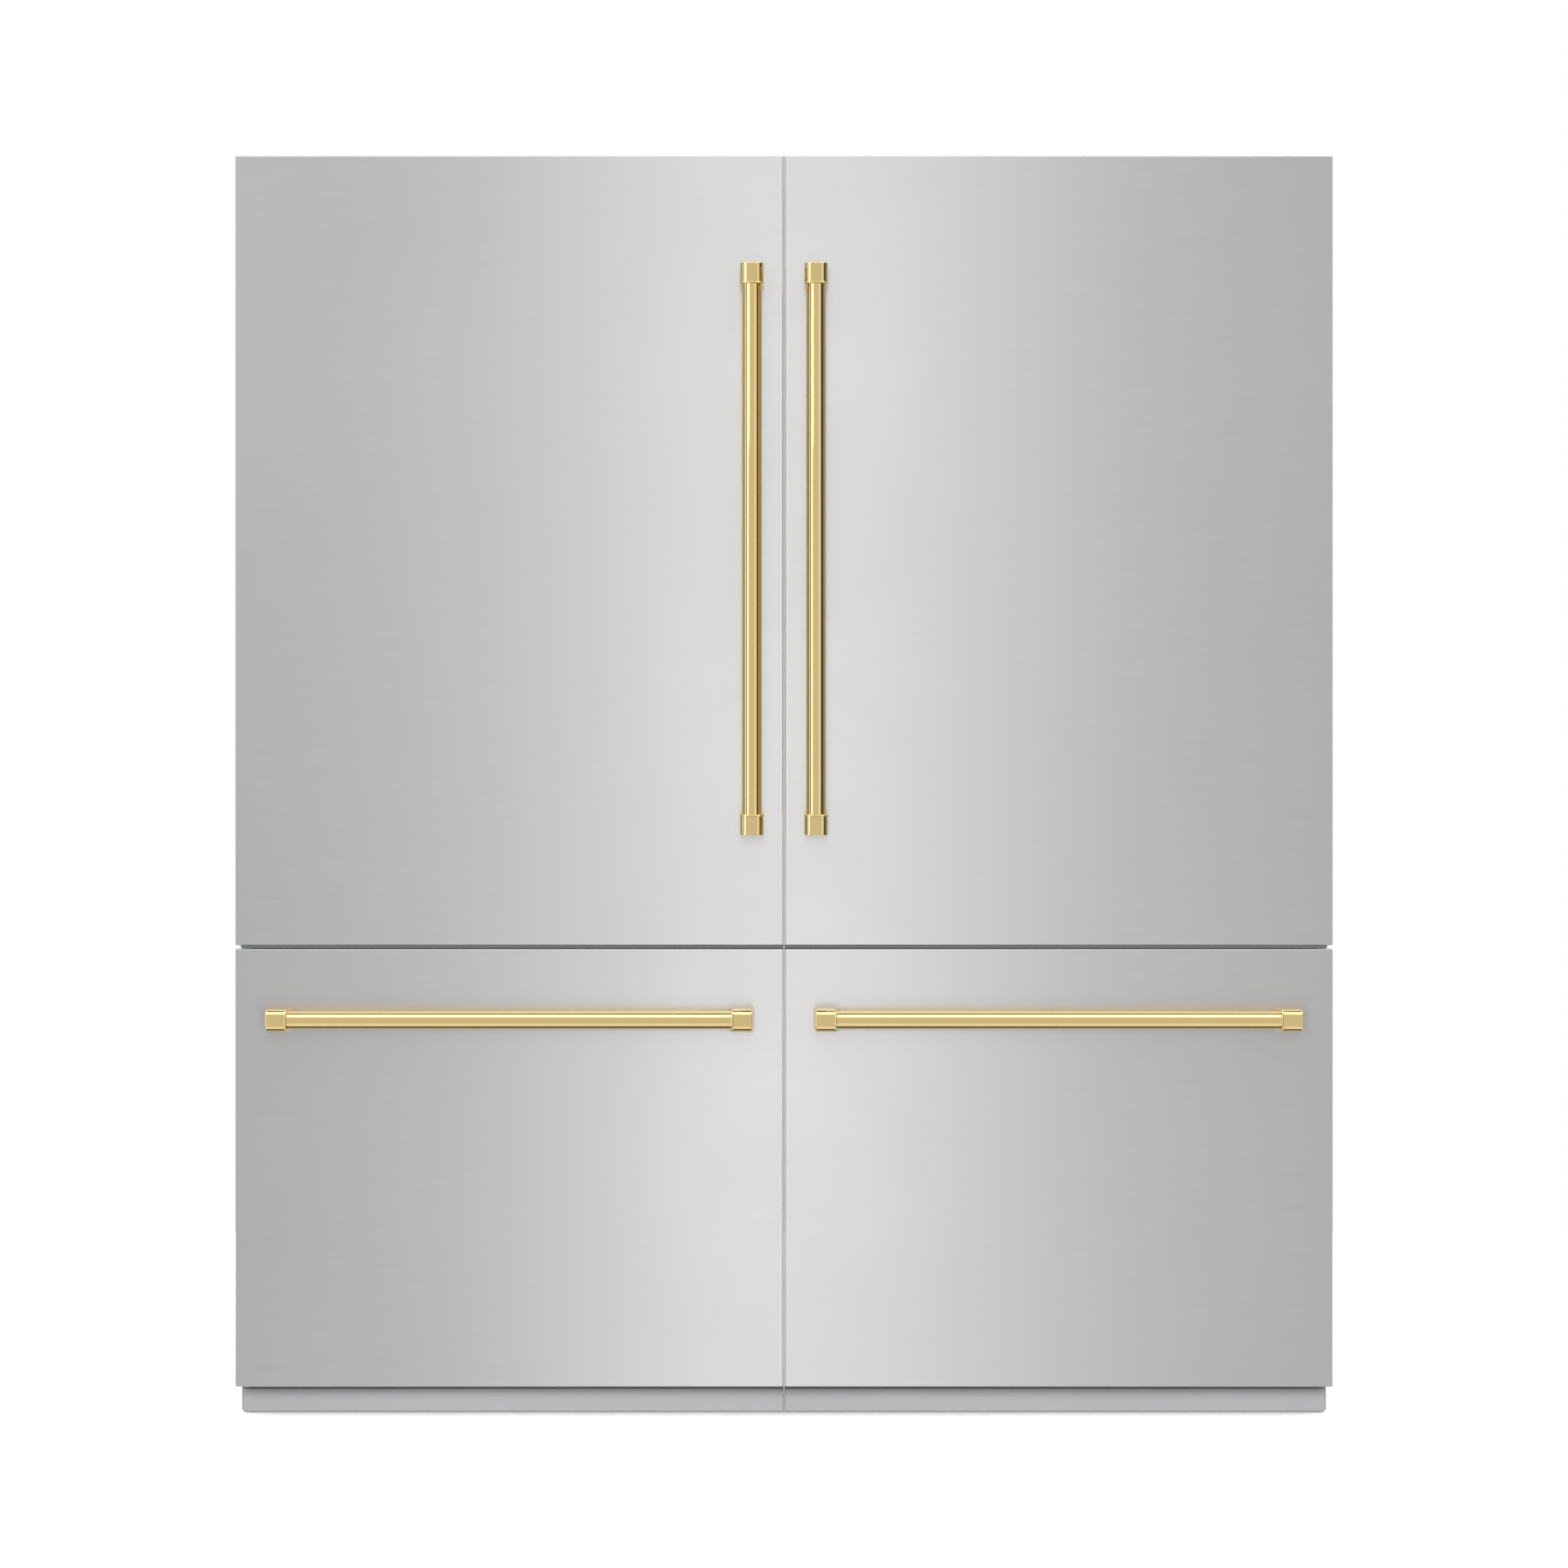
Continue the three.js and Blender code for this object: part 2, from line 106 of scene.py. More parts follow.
# %% Shape helpers
PLANES = {"x": (1, 2), "y": (0, 2), "z": (0, 1)}
SAME_PLACE = 1e-6


def round_edges(bm, edges, radius, segments=3):
    """Rounds the given edges."""
    bmesh.ops.bevel(bm, geom=edges, offset=radius, offset_type="OFFSET", segments=segments, profile=0.5,
                    affect="EDGES", material=-1)


def runs_along(edge, axis):
    """Whether an edge runs along an axis."""
    way = (edge.verts[1].co - edge.verts[0].co).normalized()
    return abs(way["xyz".index(axis)]) > 0.9


def block(lo, hi, radius=0.0, segments=3, along="xyz"):
    """A box between two corners, with its edges along the named axes rounded."""
    bm = bmesh.new()
    lo, hi = Vector(lo), Vector(hi)
    place = Matrix.Translation((lo + hi) / 2) @ Matrix.Diagonal((*(hi - lo), 1))
    bmesh.ops.create_cube(bm, size=1, matrix=place)
    if radius:
        round_edges(bm, [e for e in bm.edges if any(runs_along(e, axis) for axis in along)], radius, segments)
    return bm


def thicken(bm, shift):
    """Extrudes the faces of a flat mesh by a vector."""
    made = bmesh.ops.extrude_face_region(bm, geom=bm.faces[:])["geom"]
    bmesh.ops.translate(bm, vec=shift, verts=[g for g in made if isinstance(g, bmesh.types.BMVert)])


def cut(bm, place, normal, **settings):
    """Cuts a mesh by a plane through a place."""
    bmesh.ops.bisect_plane(bm, geom=bm.faces[:] + bm.edges[:] + bm.verts[:], plane_co=place, plane_no=normal,
                           **settings)


def slab(points, along, start, end, radius=0.0, segments=2):
    """An outline, given in the two other axes, extruded along one axis."""
    bm = bmesh.new()
    k = "xyz".index(along)
    corners = []
    for point in points:
        co = Vector((0, 0, 0))
        co[PLANES[along][0]], co[PLANES[along][1]], co[k] = point[0], point[1], start
        corners.append(bm.verts.new(co))
    bm.faces.new(corners)
    shift = Vector((0, 0, 0))
    shift[k] = end - start
    thicken(bm, shift)
    bmesh.ops.recalc_face_normals(bm, faces=bm.faces)
    if radius:
        round_edges(bm, bm.edges[:], radius, segments)
    return bm


def hollow(bm, side, wall, corner=0.0, floor=0.0, segments=5):
    """Opens a solid on one side, such as "z+", rounds its other edges and gives it walls.
    A positive wall grows inwards and a negative one outwards."""
    axis, sign = "xyz".index(side[0]), 1 if side[1] == "+" else -1
    outermost = max(sign * f.calc_center_median()[axis] for f in bm.faces)
    mouth = [f for f in bm.faces if sign * f.calc_center_median()[axis] > outermost - 1e-5]
    bmesh.ops.delete(bm, geom=mouth, context="FACES_ONLY")
    if corner:
        round_edges(bm, [e for e in bm.edges if runs_along(e, side[0]) and len(e.link_faces) == 2],
                    corner, segments)
    if floor:
        shared = [e for e in bm.edges if len(e.link_faces) == 2 and e.calc_face_angle() > 0.7]
        round_edges(bm, shared, floor, segments)
    bmesh.ops.solidify(bm, geom=bm.faces[:], thickness=wall)
    return bm


def sheet(x, z, y, holes=()):
    """A flat sheet between two x, two z and two y, with rectangular holes."""
    bm = bmesh.new()
    bm.faces.new([bm.verts.new((px, y[0], pz)) for px, pz in
                  ((x[0], z[0]), (x[1], z[0]), (x[1], z[1]), (x[0], z[1]))])
    cuts = {(v, 0) for hole in holes for v in hole[0]} | {(v, 2) for hole in holes for v in hole[1]}
    for where, axis in sorted(cuts):
        normal = Vector((0, 0, 0))
        normal[axis] = 1
        cut(bm, normal * where, normal, dist=1e-7)

    def in_a_hole(face):
        middle = face.calc_center_median()
        return any(h[0][0] < middle.x < h[0][1] and h[1][0] < middle.z < h[1][1] for h in holes)

    bmesh.ops.delete(bm, geom=[f for f in bm.faces if in_a_hole(f)], context="FACES")
    thicken(bm, (0, y[1] - y[0], 0))
    return bm


def rounded(first, second, radius, segments=6):
    """The outline of a rectangle with rounded corners, as points in its plane."""
    points = []
    for quarter, (a, b) in enumerate(((1, 1), (0, 1), (0, 0), (1, 0))):
        centre = (first[a] + radius * (1 - 2 * a), second[b] + radius * (1 - 2 * b))
        for i in range(segments + 1):
            turn = (quarter + i / segments) * math.pi / 2
            points.append((centre[0] + radius * math.cos(turn), centre[1] + radius * math.sin(turn)))
    return points


def bridge(bm, loops, closed=False):
    """Joins loops of vertices by faces, round to the first if closed, or else with a face at each end."""
    for one, other in list(zip(loops, loops[1:])) + ([(loops[-1], loops[0])] if closed else []):
        for i in range(len(one)):
            bm.faces.new((one[i - 1], one[i], other[i], other[i - 1]))
    if not closed:
        bm.faces.new(loops[0])
        bm.faces.new(loops[-1])


def skin(outlines, along, closed=False):
    """Outlines with equal numbers of points, each at its place along an axis, bridged by faces."""
    bm = bmesh.new()
    loops = []
    for outline, place in outlines:
        loop = []
        for point in outline:
            co = Vector((place, place, place))
            co[PLANES[along][0]], co[PLANES[along][1]] = point
            loop.append(bm.verts.new(co))
        loops.append(loop)
    bridge(bm, loops, closed)
    return bm


def lofted(spans, along, section, corner, closed=False, segments=6):
    """A section of (inset, place) points carried round a rectangle with rounded corners."""
    first, second = spans
    outlines = [(rounded((first[0] + inset, first[1] - inset), (second[0] + inset, second[1] - inset),
                         max(corner - inset, 0.3 * MM), segments), place) for inset, place in section]
    return skin(outlines, along, closed)


def tub(x, y, z, wall, corner, rim=(0.0, 0.0), draft=2 * MM, fillet=8 * MM):
    """A moulded tub whose walls lean out by the draft, with a rounded floor and a rim turned outwards."""
    rim_width, rim_height = rim
    foot = rim_width + draft
    turns = [i * math.pi / 8 for i in range(5)]
    inner = fillet - wall
    soft = 0.6 * MM
    section = [(foot + fillet * (1 - math.sin(t)), z[0] + fillet * (1 - math.cos(t))) for t in turns]
    if rim_width:
        section += [(rim_width, z[1] - rim_height), (soft, z[1] - rim_height)]
    section += [(0, z[1] - rim_height + soft if rim_width else z[1] - soft), (0, z[1] - soft), (soft, z[1]),
                (rim_width + wall - soft, z[1]), (rim_width + wall, z[1] - soft)]
    section += [(foot + wall + inner * (1 - math.sin(t)), z[0] + wall + inner * (1 - math.cos(t)))
                for t in reversed(turns)]
    if not rim_width:
        section.pop(5)
    return lofted((x, y), "z", section, corner)


def pipe(points, radius, bend=20 * MM, sides=14):
    """A round tube along straight runs, with a bend at each corner between them."""
    points = [Vector(p) for p in points]
    path = [points[0]]
    for before, corner, after in zip(points, points[1:], points[2:]):
        reach = min(bend, (corner - before).length / 2, (after - corner).length / 2)
        start = corner + (before - corner).normalized() * reach
        finish = corner + (after - corner).normalized() * reach
        path += [start.lerp(corner, t).lerp(corner.lerp(finish, t), t)
                 for t in (0, 0.17, 0.34, 0.5, 0.66, 0.83, 1)]
    path.append(points[-1])
    bm = bmesh.new()
    across = (path[1] - path[0]).orthogonal().normalized()
    loops = []
    for k, place in enumerate(path):
        way = (path[min(k + 1, len(path) - 1)] - path[max(k - 1, 0)]).normalized()
        across = (across - way * across.dot(way)).normalized()
        up = way.cross(across)
        loops.append([bm.verts.new(place + radius * (across * math.cos(a) + up * math.sin(a)))
                      for a in (i * 2 * math.pi / sides for i in range(sides))])
    bridge(bm, loops)
    return bm


TURNS = {"x": Matrix.Rotation(math.pi / 2, 4, "Y"), "y": Matrix.Rotation(-math.pi / 2, 4, "X"),
         "z": Matrix.Identity(4)}


def turned(profile, centre, axis="z", steps=32):
    """A profile of (radius, height) points spun about an axis through a point."""
    bm = bmesh.new()
    points = [bm.verts.new((radius, 0, height)) for radius, height in profile]
    line = [bm.edges.new(pair) for pair in zip(points, points[1:])]
    bmesh.ops.spin(bm, geom=points + line, cent=(0, 0, 0), axis=(0, 0, 1), angle=2 * math.pi, steps=steps,
                   use_merge=True)
    bmesh.ops.remove_doubles(bm, verts=bm.verts, dist=SAME_PLACE)
    bmesh.ops.transform(bm, matrix=Matrix.Translation(centre) @ TURNS[axis], verts=bm.verts)
    return bm


def merged(*parts):
    """Several bmeshes in one."""
    whole = bmesh.new()
    for part in parts:
        mesh = bpy.data.meshes.new("part")
        part.to_mesh(mesh)
        part.free()
        whole.from_mesh(mesh)
        bpy.data.meshes.remove(mesh)
    return whole


def moved(bm, vec):
    """The same bmesh, shifted."""
    bmesh.ops.translate(bm, vec=vec, verts=bm.verts)
    return bm


# %% [markdown]
# A finished bmesh becomes two objects, one for each column. Mirroring turns every face round, so the faces
# are reversed after it. Angles under 35 degrees are shaded smooth and the rest stay crisp.

# %% Finish a piece for both columns
SMOOTH_UNDER = math.radians(35)
made_pieces = []


def make_object(name, bm, material, body):
    """One object from a bmesh, riding on a body."""
    mesh = bpy.data.meshes.new(name)
    bm.to_mesh(mesh)
    mesh.shade_smooth()
    mesh.set_sharp_from_angle(angle=SMOOTH_UNDER)
    mesh.materials.append(material)
    piece = bpy.data.objects.new(name, mesh)
    bpy.context.scene.collection.objects.link(piece)
    weighted = piece.modifiers.new("weighted_normals", "WEIGHTED_NORMAL")
    weighted.keep_sharp = True
    weighted.weight = 100
    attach(piece, body)
    made_pieces.append(piece)
    return piece


def pair(name, bm, material, body, slot, stands_for=()):
    """Both columns' copies of a piece, and the CAD nodes that it stands for."""
    bmesh.ops.remove_doubles(bm, verts=bm.verts, dist=SAME_PLACE)
    bmesh.ops.recalc_face_normals(bm, faces=bm.faces)
    for side in ("right", "left"):
        if side == "left":
            bmesh.ops.scale(bm, vec=(-1, 1, 1), verts=bm.verts)
            bmesh.ops.reverse_faces(bm, faces=bm.faces)
        rides_on = body if body == "cabinet" else f"{side}_{body}"
        piece = make_object(f"{side}_{name}", bm, material, rides_on)
        if stands_for:
            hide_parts(*[f"{side}_{node}" for node in stands_for])
    bm.free()


# %% [markdown]
# ## Materials
# Colours are given as the usual sRGB hex and turned to linear light by one function. One small helper adds a
# node and fills in its sockets, so that each material reads as a short list of what the surface has. Most
# finishes here are even, and differ only in how far their colour and polish drift, and over what distance.

# %% Material helpers
def linear(hex_colour):
    """An sRGB hex colour as linear RGBA."""
    channels = [int(hex_colour[i:i + 2], 16) / 255 for i in (1, 3, 5)]
    return (*[c / 12.92 if c <= 0.04045 else ((c + 0.055) / 1.055) ** 2.4 for c in channels], 1.0)


def add_node(tree, kind, inputs=None, **settings):
    """A node with its settings and its sockets filled by values or links."""
    node = tree.nodes.new(kind)
    for key, value in settings.items():
        setattr(node, key, value)
    for key, value in (inputs or {}).items():
        if isinstance(value, bpy.types.NodeSocket):
            tree.links.new(value, node.inputs[key])
        else:
            node.inputs[key].default_value = value
    return node


def surface(name, **shader_settings):
    """A new material, its node tree and its Principled shader with constants set."""
    material = bpy.data.materials.new(name)
    material.use_nodes = True
    shader = material.node_tree.nodes["Principled BSDF"]
    for key, value in shader_settings.items():
        shader.inputs[key.replace("_", " ")].default_value = value
    return material, material.node_tree, shader


def noise(tree, size, detail=3.0, stretch=(1, 1, 1)):
    """Noise whose features are size millimetres across, drawn out along an axis by stretch."""
    places = add_node(tree, "ShaderNodeTexCoord")
    scale = [1 / (size * MM * s) for s in stretch]
    mapping = add_node(tree, "ShaderNodeMapping", {"Vector": places.outputs["Object"], "Scale": scale})
    return add_node(tree, "ShaderNodeTexNoise", {"Vector": mapping.outputs["Vector"], "Scale": 1.0,
                                                 "Detail": detail}).outputs["Fac"]


def between(tree, factor, low, high):
    """A factor turned into a value between two limits."""
    return add_node(tree, "ShaderNodeMapRange", {"Value": factor, "From Min": 0.3, "From Max": 0.7,
                                                 "To Min": low, "To Max": high}).outputs["Result"]


def tint(tree, factor, low, high):
    """A factor turned into a colour between two hex colours."""
    mix = add_node(tree, "ShaderNodeMix", data_type="RGBA")
    tree.links.new(factor, mix.inputs["Factor"])
    for name, colour in (("A", low), ("B", high)):
        next(s for s in mix.inputs if s.name == name and s.type == "RGBA").default_value = linear(colour)
    return next(s for s in mix.outputs if s.type == "RGBA")


def bumped(tree, shader, height, strength, rise):
    """Bumps on a shader, rise millimetres high."""
    bump = add_node(tree, "ShaderNodeBump", {"Height": height, "Strength": strength, "Distance": rise * MM})
    tree.links.new(bump.outputs["Normal"], shader.inputs["Normal"])


def patchy(name, dark, light, roughness, size, detail=2.0, rise=0.0, **settings):
    """A finish whose colour and polish drift in patches of a size in millimetres, with bumps of a rise."""
    material, tree, shader = surface(name, **settings)
    patches = noise(tree, size, detail)
    tree.links.new(tint(tree, patches, dark, light), shader.inputs["Base Color"])
    tree.links.new(between(tree, patches, *roughness), shader.inputs["Roughness"])
    if rise:
        bumped(tree, shader, patches, 0.15, rise)
    return material


# %% [markdown]
# ### Metals
# The fronts are 304 stainless steel, brushed with a belt along the door's width. The belt leaves grooves a
# few hundredths of a millimetre wide, which is too fine to see from a room away, so they are drawn 1.5 mm
# apart and very faint. They spread each reflection up and down and make the steel look soft. The plinth is
# 430, a duller grade that spreads what it mirrors further. Its colour is also made much darker than the
# fronts' steel, which is painted shade for its place in the recess under the drawers.

# %% Brushed stainless steel
GROOVE, CLOUD = 1.5, 420


def brushed_stainless(name, rough, dark, light):
    """Steel with fine grooves along x and broad soft changes in its polish."""
    material, tree, shader = surface(name, Metallic=1.0)
    grooves = noise(tree, GROOVE, detail=4.0, stretch=(60, 60, 1))
    clouds = noise(tree, CLOUD, detail=2.0)
    tree.links.new(tint(tree, grooves, dark, light), shader.inputs["Base Color"])
    fine, broad = between(tree, grooves, -0.02, 0.02), between(tree, clouds, rough - 0.015, rough + 0.015)
    both = add_node(tree, "ShaderNodeMath", {0: fine, 1: broad}, operation="ADD")
    tree.links.new(both.outputs["Value"], shader.inputs["Roughness"])
    bumped(tree, shader, grooves, 0.05, 0.02)
    return material


STEEL = brushed_stainless("brushed_stainless_304", 0.345, "#c4c4c5", "#cbcbcb")
# The plinth steel's colour is much darker than the fronts' steel. That darkness is painted shade for the
# recess under the drawers, and only its rougher polish belongs to the duller grade.
SHADED_PLINTH_STEEL = brushed_stainless("dull_stainless_430_painted_shade", 0.6, "#7c7c7d", "#828283")


# %% [markdown]
# The handles are brass tube and brass castings, polished and plated with a gold finish. A mirror polish shows
# each lamp as a sharp line, and buffing leaves faint patches in the shine.

# %% Polished gold plate
GOLD = patchy("polished_gold_plate", "#f4d998", "#f5db9c", (0.045, 0.06), 9, Metallic=1.0)

# %% [markdown]
# The case is hot dip galvanised sheet. Zinc freezes in flat crystals, the spangle, about 9 mm across here,
# and each one mirrors the room a little differently. Hinges, rails and screws are zinc plated and even. The
# strips in the gaps below the doors are aluminium, anodised grey.

# %% Galvanised sheet and plain metals
CRYSTALS_PER_METRE = 110.0


def galvanised_sheet():
    """Zinc coated sheet with its spangle."""
    material, tree, shader = surface("galvanised_sheet", Metallic=1.0)
    places = add_node(tree, "ShaderNodeTexCoord")
    crystals = add_node(tree, "ShaderNodeTexVoronoi",
                        {"Vector": places.outputs["Object"], "Scale": CRYSTALS_PER_METRE})
    grain = add_node(tree, "ShaderNodeSeparateColor", {"Color": crystals.outputs["Color"]}).outputs["Red"]
    tree.links.new(tint(tree, grain, "#b2b5b8", "#babdc0"), shader.inputs["Base Color"])
    tree.links.new(between(tree, grain, 0.45, 0.49), shader.inputs["Roughness"])
    bumped(tree, shader, grain, 0.015, 0.02)
    return material


def plain_metal(name, dark, light, rough):
    """An even metal with a little variation in tone and polish."""
    return patchy(name, dark, light, (rough - 0.04, rough + 0.04), 3.0, detail=3.0, Metallic=1.0)


ZINC_SHEET = galvanised_sheet()
ZINC_PLATE = plain_metal("zinc_plated_steel", "#a5a8ab", "#b7babd", 0.34)
SATIN_ALUMINIUM = plain_metal("satin_anodised_aluminium", "#c9cbcd", "#d3d5d7", 0.28)
GREY_ALUMINIUM = plain_metal("grey_anodised_aluminium", "#8e9092", "#929496", 0.3)
FIN_STOCK = plain_metal("aluminium_fin_stock", "#a8abad", "#bcbfc1", 0.4)
COPPER = plain_metal("drawn_copper_tube", "#b06c45", "#c8825a", 0.25)

# %% [markdown]
# ### Plastics, rubber and enamel
# The liner is white ABS, vacuum formed, which leaves a faint orange peel, and the coats of enamel and powder
# on steel have a peel as well. Bins and pans are clear moulded polystyrene, and the seals are soft PVC. The
# lamp lenses are opal polycarbonate, which glows evenly.

# %% Plastics, paint and glass
def moulded_plastic(name, dark, light, rough, peel=3.0, rise=0.03, **settings):
    """A moulded plastic or a coat of paint with a fine peel."""
    return patchy(name, dark, light, (rough - 0.05, rough + 0.05), peel, rise=rise, **settings)


ENAMEL = moulded_plastic("black_enamelled_steel", "#0d0d0e", "#141415", 0.22, peel=5.0, Coat_Weight=0.4)
WHITE_ABS = moulded_plastic("vacuum_formed_abs", "#e9ebec", "#f0f2f3", 0.3, peel=4.0)
PAINTED_STEEL = moulded_plastic("powder_coated_steel", "#b4b7ba", "#babdc0", 0.4, peel=2.0, rise=0.02)
WHITE_PC = moulded_plastic("opal_polycarbonate", "#f2f5f7", "#f8fafb", 0.45, Emission_Color=linear("#fff6e8"),
                           Emission_Strength=50.0)
GREY_PVC = moulded_plastic("soft_grey_pvc", "#85888b", "#909396", 0.62, peel=1.5)
GREY_ABS = moulded_plastic("grey_painted_edge", "#9a9da0", "#a3a6a9", 0.45, peel=2.5)
BLACK_NYLON = moulded_plastic("black_glass_filled_nylon", "#161718", "#202122", 0.55, peel=1.0, rise=0.05)
CLEAR = patchy("clear_polystyrene", "#f6fafb", "#fbfdfe", (0.04, 0.1), 60, IOR=1.59, Transmission_Weight=0.92)
GLASS = patchy("tempered_shelf_glass", "#ecf7f3", "#f2faf7", (0.0, 0.03), 90, IOR=1.52,
               Transmission_Weight=1.0)
print(len(bpy.data.materials), "materials")

# %% [markdown]
# ## Fronts
# Each front is a pan folded from 1.5 mm sheet, with an outside radius a little over the sheet's thickness.
# A box opened at the back and given a wall is the same thing as the folded pan.

# %% Door and drawer pans
SHEET = 1.5 * MM
FOLD = 1.8 * MM


def folded_pan(lo, hi):
    """A pan that is open at the back."""
    return hollow(block(lo, hi), "y+", SHEET, floor=FOLD, segments=4)


pair("door_pan", folded_pan(door_lo, door_hi), STEEL, "door", "stainless", ["door_panel"])
pair("drawer_pan", folded_pan(drawer_lo, drawer_hi), STEEL, "drawer", "stainless", ["drawer_panel"])

# %% [markdown]
# The plinth closes the gap to the floor. Its outer lower corner is clipped, and its top and ends are folded
# back to the case. A flat rail on top of it closes the rest of the gap under the drawers.

# %% Plinth
plinth_lo, plinth_hi = at("toe_kick")
CLIP = 4 * MM
RAIL_FRONT, RAIL_TOP = depth(50.6), 46 * MM
STRIP_BACK = 81.8  # millimetres behind the fronts, just in front of the case
plinth = slab([(plinth_lo.x, plinth_lo.z), (plinth_hi.x - CLIP, plinth_lo.z),
               (plinth_hi.x, plinth_lo.z + CLIP), (plinth_hi.x, plinth_hi.z), (plinth_lo.x, plinth_hi.z)],
              "y", plinth_lo.y, plinth_hi.y)
# The plinth and its top rail take the darkened plinth steel, whose colour is painted shade under the drawers.
pair("plinth", hollow(plinth, "y+", SHEET, floor=1.6 * MM, segments=3), SHADED_PLINTH_STEEL, "cabinet", "stainless",
     ["toe_kick"])
rail = block((plinth_lo.x, RAIL_FRONT, plinth_hi.z + 0.1 * MM), (plinth_hi.x, depth(STRIP_BACK), RAIL_TOP),
             0.6 * MM)
pair("plinth_top_rail", rail, SHADED_PLINTH_STEEL, "cabinet", "stainless")

# %% [markdown]
# A steel strip joins the columns. It stands in the narrow seam between them, steps back at the plinth, and
# has a notch between the doors and the drawers. Another strip on each column, of grey aluminium, stands in
# the gap between the door and the drawer. They hide the dark behind those gaps.

# %% Strips in the gaps
SEAM_HALF = 0.8 * MM
SEAM_SIDE = ((STRIP_BACK, 4), (60, 4), (60, 43), (0.8, 50.5), (0.8, 779.5), (14, 779.5), (14, 786.5),
             (0.8, 786.5), (0.8, 2101), (STRIP_BACK, 2086))
seam = slab([(depth(back), z * MM) for back, z in SEAM_SIDE], "x", -SEAM_HALF, SEAM_HALF)
make_object("column_joining_strip", seam, STEEL, "cabinet")
GAP_PLAN = ((1, 6), (905, 6), (905, 19), (856, 19), (856, STRIP_BACK), (1, STRIP_BACK))
pair("gap_strip", slab(by_depth(GAP_PLAN), "z", *mm(781.2, 785.2)), GREY_ALUMINIUM, "cabinet", "stainless")

# %% [markdown]
# ## Handles
# A handle is a round tube held by two cast brackets. Across the bar a bracket is square with its front
# corners rounded, and along the bar its foot flares towards the door. So a rounded outline is extruded along
# the bar, cut once where the flare ends, and its end faces are then drawn in with distance from the door.

# %% Handle parts
REACH = FRONT - at("door_bracket_lower")[0].y
BRACKET_LENGTH = at("door_bracket_lower")[1].z - at("door_bracket_lower")[0].z
BRACKET_WIDTH = at("door_bracket_lower")[1].x - at("door_bracket_lower")[0].x
BAR_RADIUS = (at("door_handle_bar")[1].x - at("door_handle_bar")[0].x) / 2
BAR_AXIS_Y = at("door_handle_bar")[0].y + BAR_RADIUS
BAR_END = at("door_handle_bar")[0].z - at("door_bracket_lower")[0].z
FLARE_END = 50 * MM
CLOSED_END_LEAN, MOUTH_LEAN = mm(3.7, -7.3)
LIP = ((0.9, 0), (0.2, 0.6), (0, 1.3), (0.2, 2), (0.9, 2.6), (2.6, 2.6), (2.6, 0))


def bracket():
    """A bracket along +x from its closed end, on a door face at y = 0, with the bar's axis at z = 0."""
    half = BRACKET_WIDTH / 2
    outline = bmesh.new()
    face = outline.faces.new([outline.verts.new((0, y, z)) for y, z in
                              ((0, -half), (-REACH, -half), (-REACH, half), (0, half))])
    front = [v for v in face.verts if v.co.y < -REACH / 2]
    bmesh.ops.bevel(outline, geom=front, offset=13 * MM, segments=10, profile=0.5, affect="VERTICES",
                    material=-1)
    thicken(outline, (BRACKET_LENGTH, 0, 0))
    cut(outline, (0, -FLARE_END, 0), (0, 1, 0), dist=SAME_PLACE)
    for v in outline.verts:
        share = min(1.0, -v.co.y / FLARE_END)
        v.co.x += (CLOSED_END_LEAN if v.co.x < BRACKET_LENGTH / 2 else MOUTH_LEAN) * share
    bmesh.ops.recalc_face_normals(outline, faces=outline.faces)
    sharp = [e for e in outline.edges if len(e.link_faces) == 2 and e.calc_face_angle() > 0.6]
    round_edges(outline, sharp, 1.6 * MM, 3)
    return outline


def mouth_lip():
    """The thin rim round the mouth where the bar goes in."""
    across = BRACKET_WIDTH / 2 + 0.9 * MM
    start = BRACKET_LENGTH - 9.6 * MM
    return lofted(((-REACH - 0.9 * MM, -24 * MM), (-across, across)), "x", measured(LIP, start), 13.9 * MM,
                  closed=True, segments=10)


def bar(length):
    """The bar between the two brackets, along +x."""
    ends = (BAR_END, length - BAR_END)
    wall = 1.6 * MM
    profile = [(BAR_RADIUS - wall, ends[0]), (BAR_RADIUS, ends[0]), (BAR_RADIUS, ends[1]),
               (BAR_RADIUS - wall, ends[1]), (BAR_RADIUS - wall, ends[0])]
    return moved(turned(profile, (0, 0, 0), "x", 64), (0, BAR_AXIS_Y - FRONT, 0))


def mount_handle(prefix, body, length, placement, names):
    """A bar and two brackets, the second one mirrored, put on a door by a matrix."""
    far = Matrix.Translation((length, 0, 0)) @ Matrix.Diagonal((-1, 1, 1, 1))
    parts = {names[0]: (bar(length), Matrix.Identity(4)),
             names[1]: (merged(bracket(), mouth_lip()), Matrix.Identity(4)),
             names[2]: (merged(bracket(), mouth_lip()), far)}
    for node, (bm, own) in parts.items():
        bmesh.ops.transform(bm, matrix=placement @ own, verts=bm.verts)
        pair(f"gold_{node}", bm, GOLD, body, "gold_plate", [node])


door_bracket, door_far = at("door_bracket_lower"), at("door_bracket_upper")
upright = Matrix.Translation(((door_bracket[0].x + door_bracket[1].x) / 2, FRONT, door_bracket[0].z))
mount_handle("door", "door", door_far[1].z - door_bracket[0].z,
             upright @ Matrix.Rotation(-math.pi / 2, 4, "Y"),
             ["door_handle_bar", "door_bracket_lower", "door_bracket_upper"])
drawer_bracket, drawer_far = at("drawer_bracket_inner"), at("drawer_bracket_outer")
level = Matrix.Translation((drawer_bracket[0].x, FRONT, (drawer_bracket[0].z + drawer_bracket[1].z) / 2))
mount_handle("drawer", "drawer", drawer_far[1].x - drawer_bracket[0].x, level,
             ["drawer_handle_bar", "drawer_bracket_inner", "drawer_bracket_outer"])
print("handles reach", round(REACH / MM, 1), "mm out of the doors")

# %% [markdown]
# ## Door and drawer bodies
# Behind each steel pan sits a slab of foam. Its edge is a plastic band, and its inner face is a vacuum formed
# liner with a raised rim, the dyke, that stands inside the compartment and slows the cold air at the gasket.
# A rounded rectangle swept with one section makes the band, the dyke and the gasket alike.

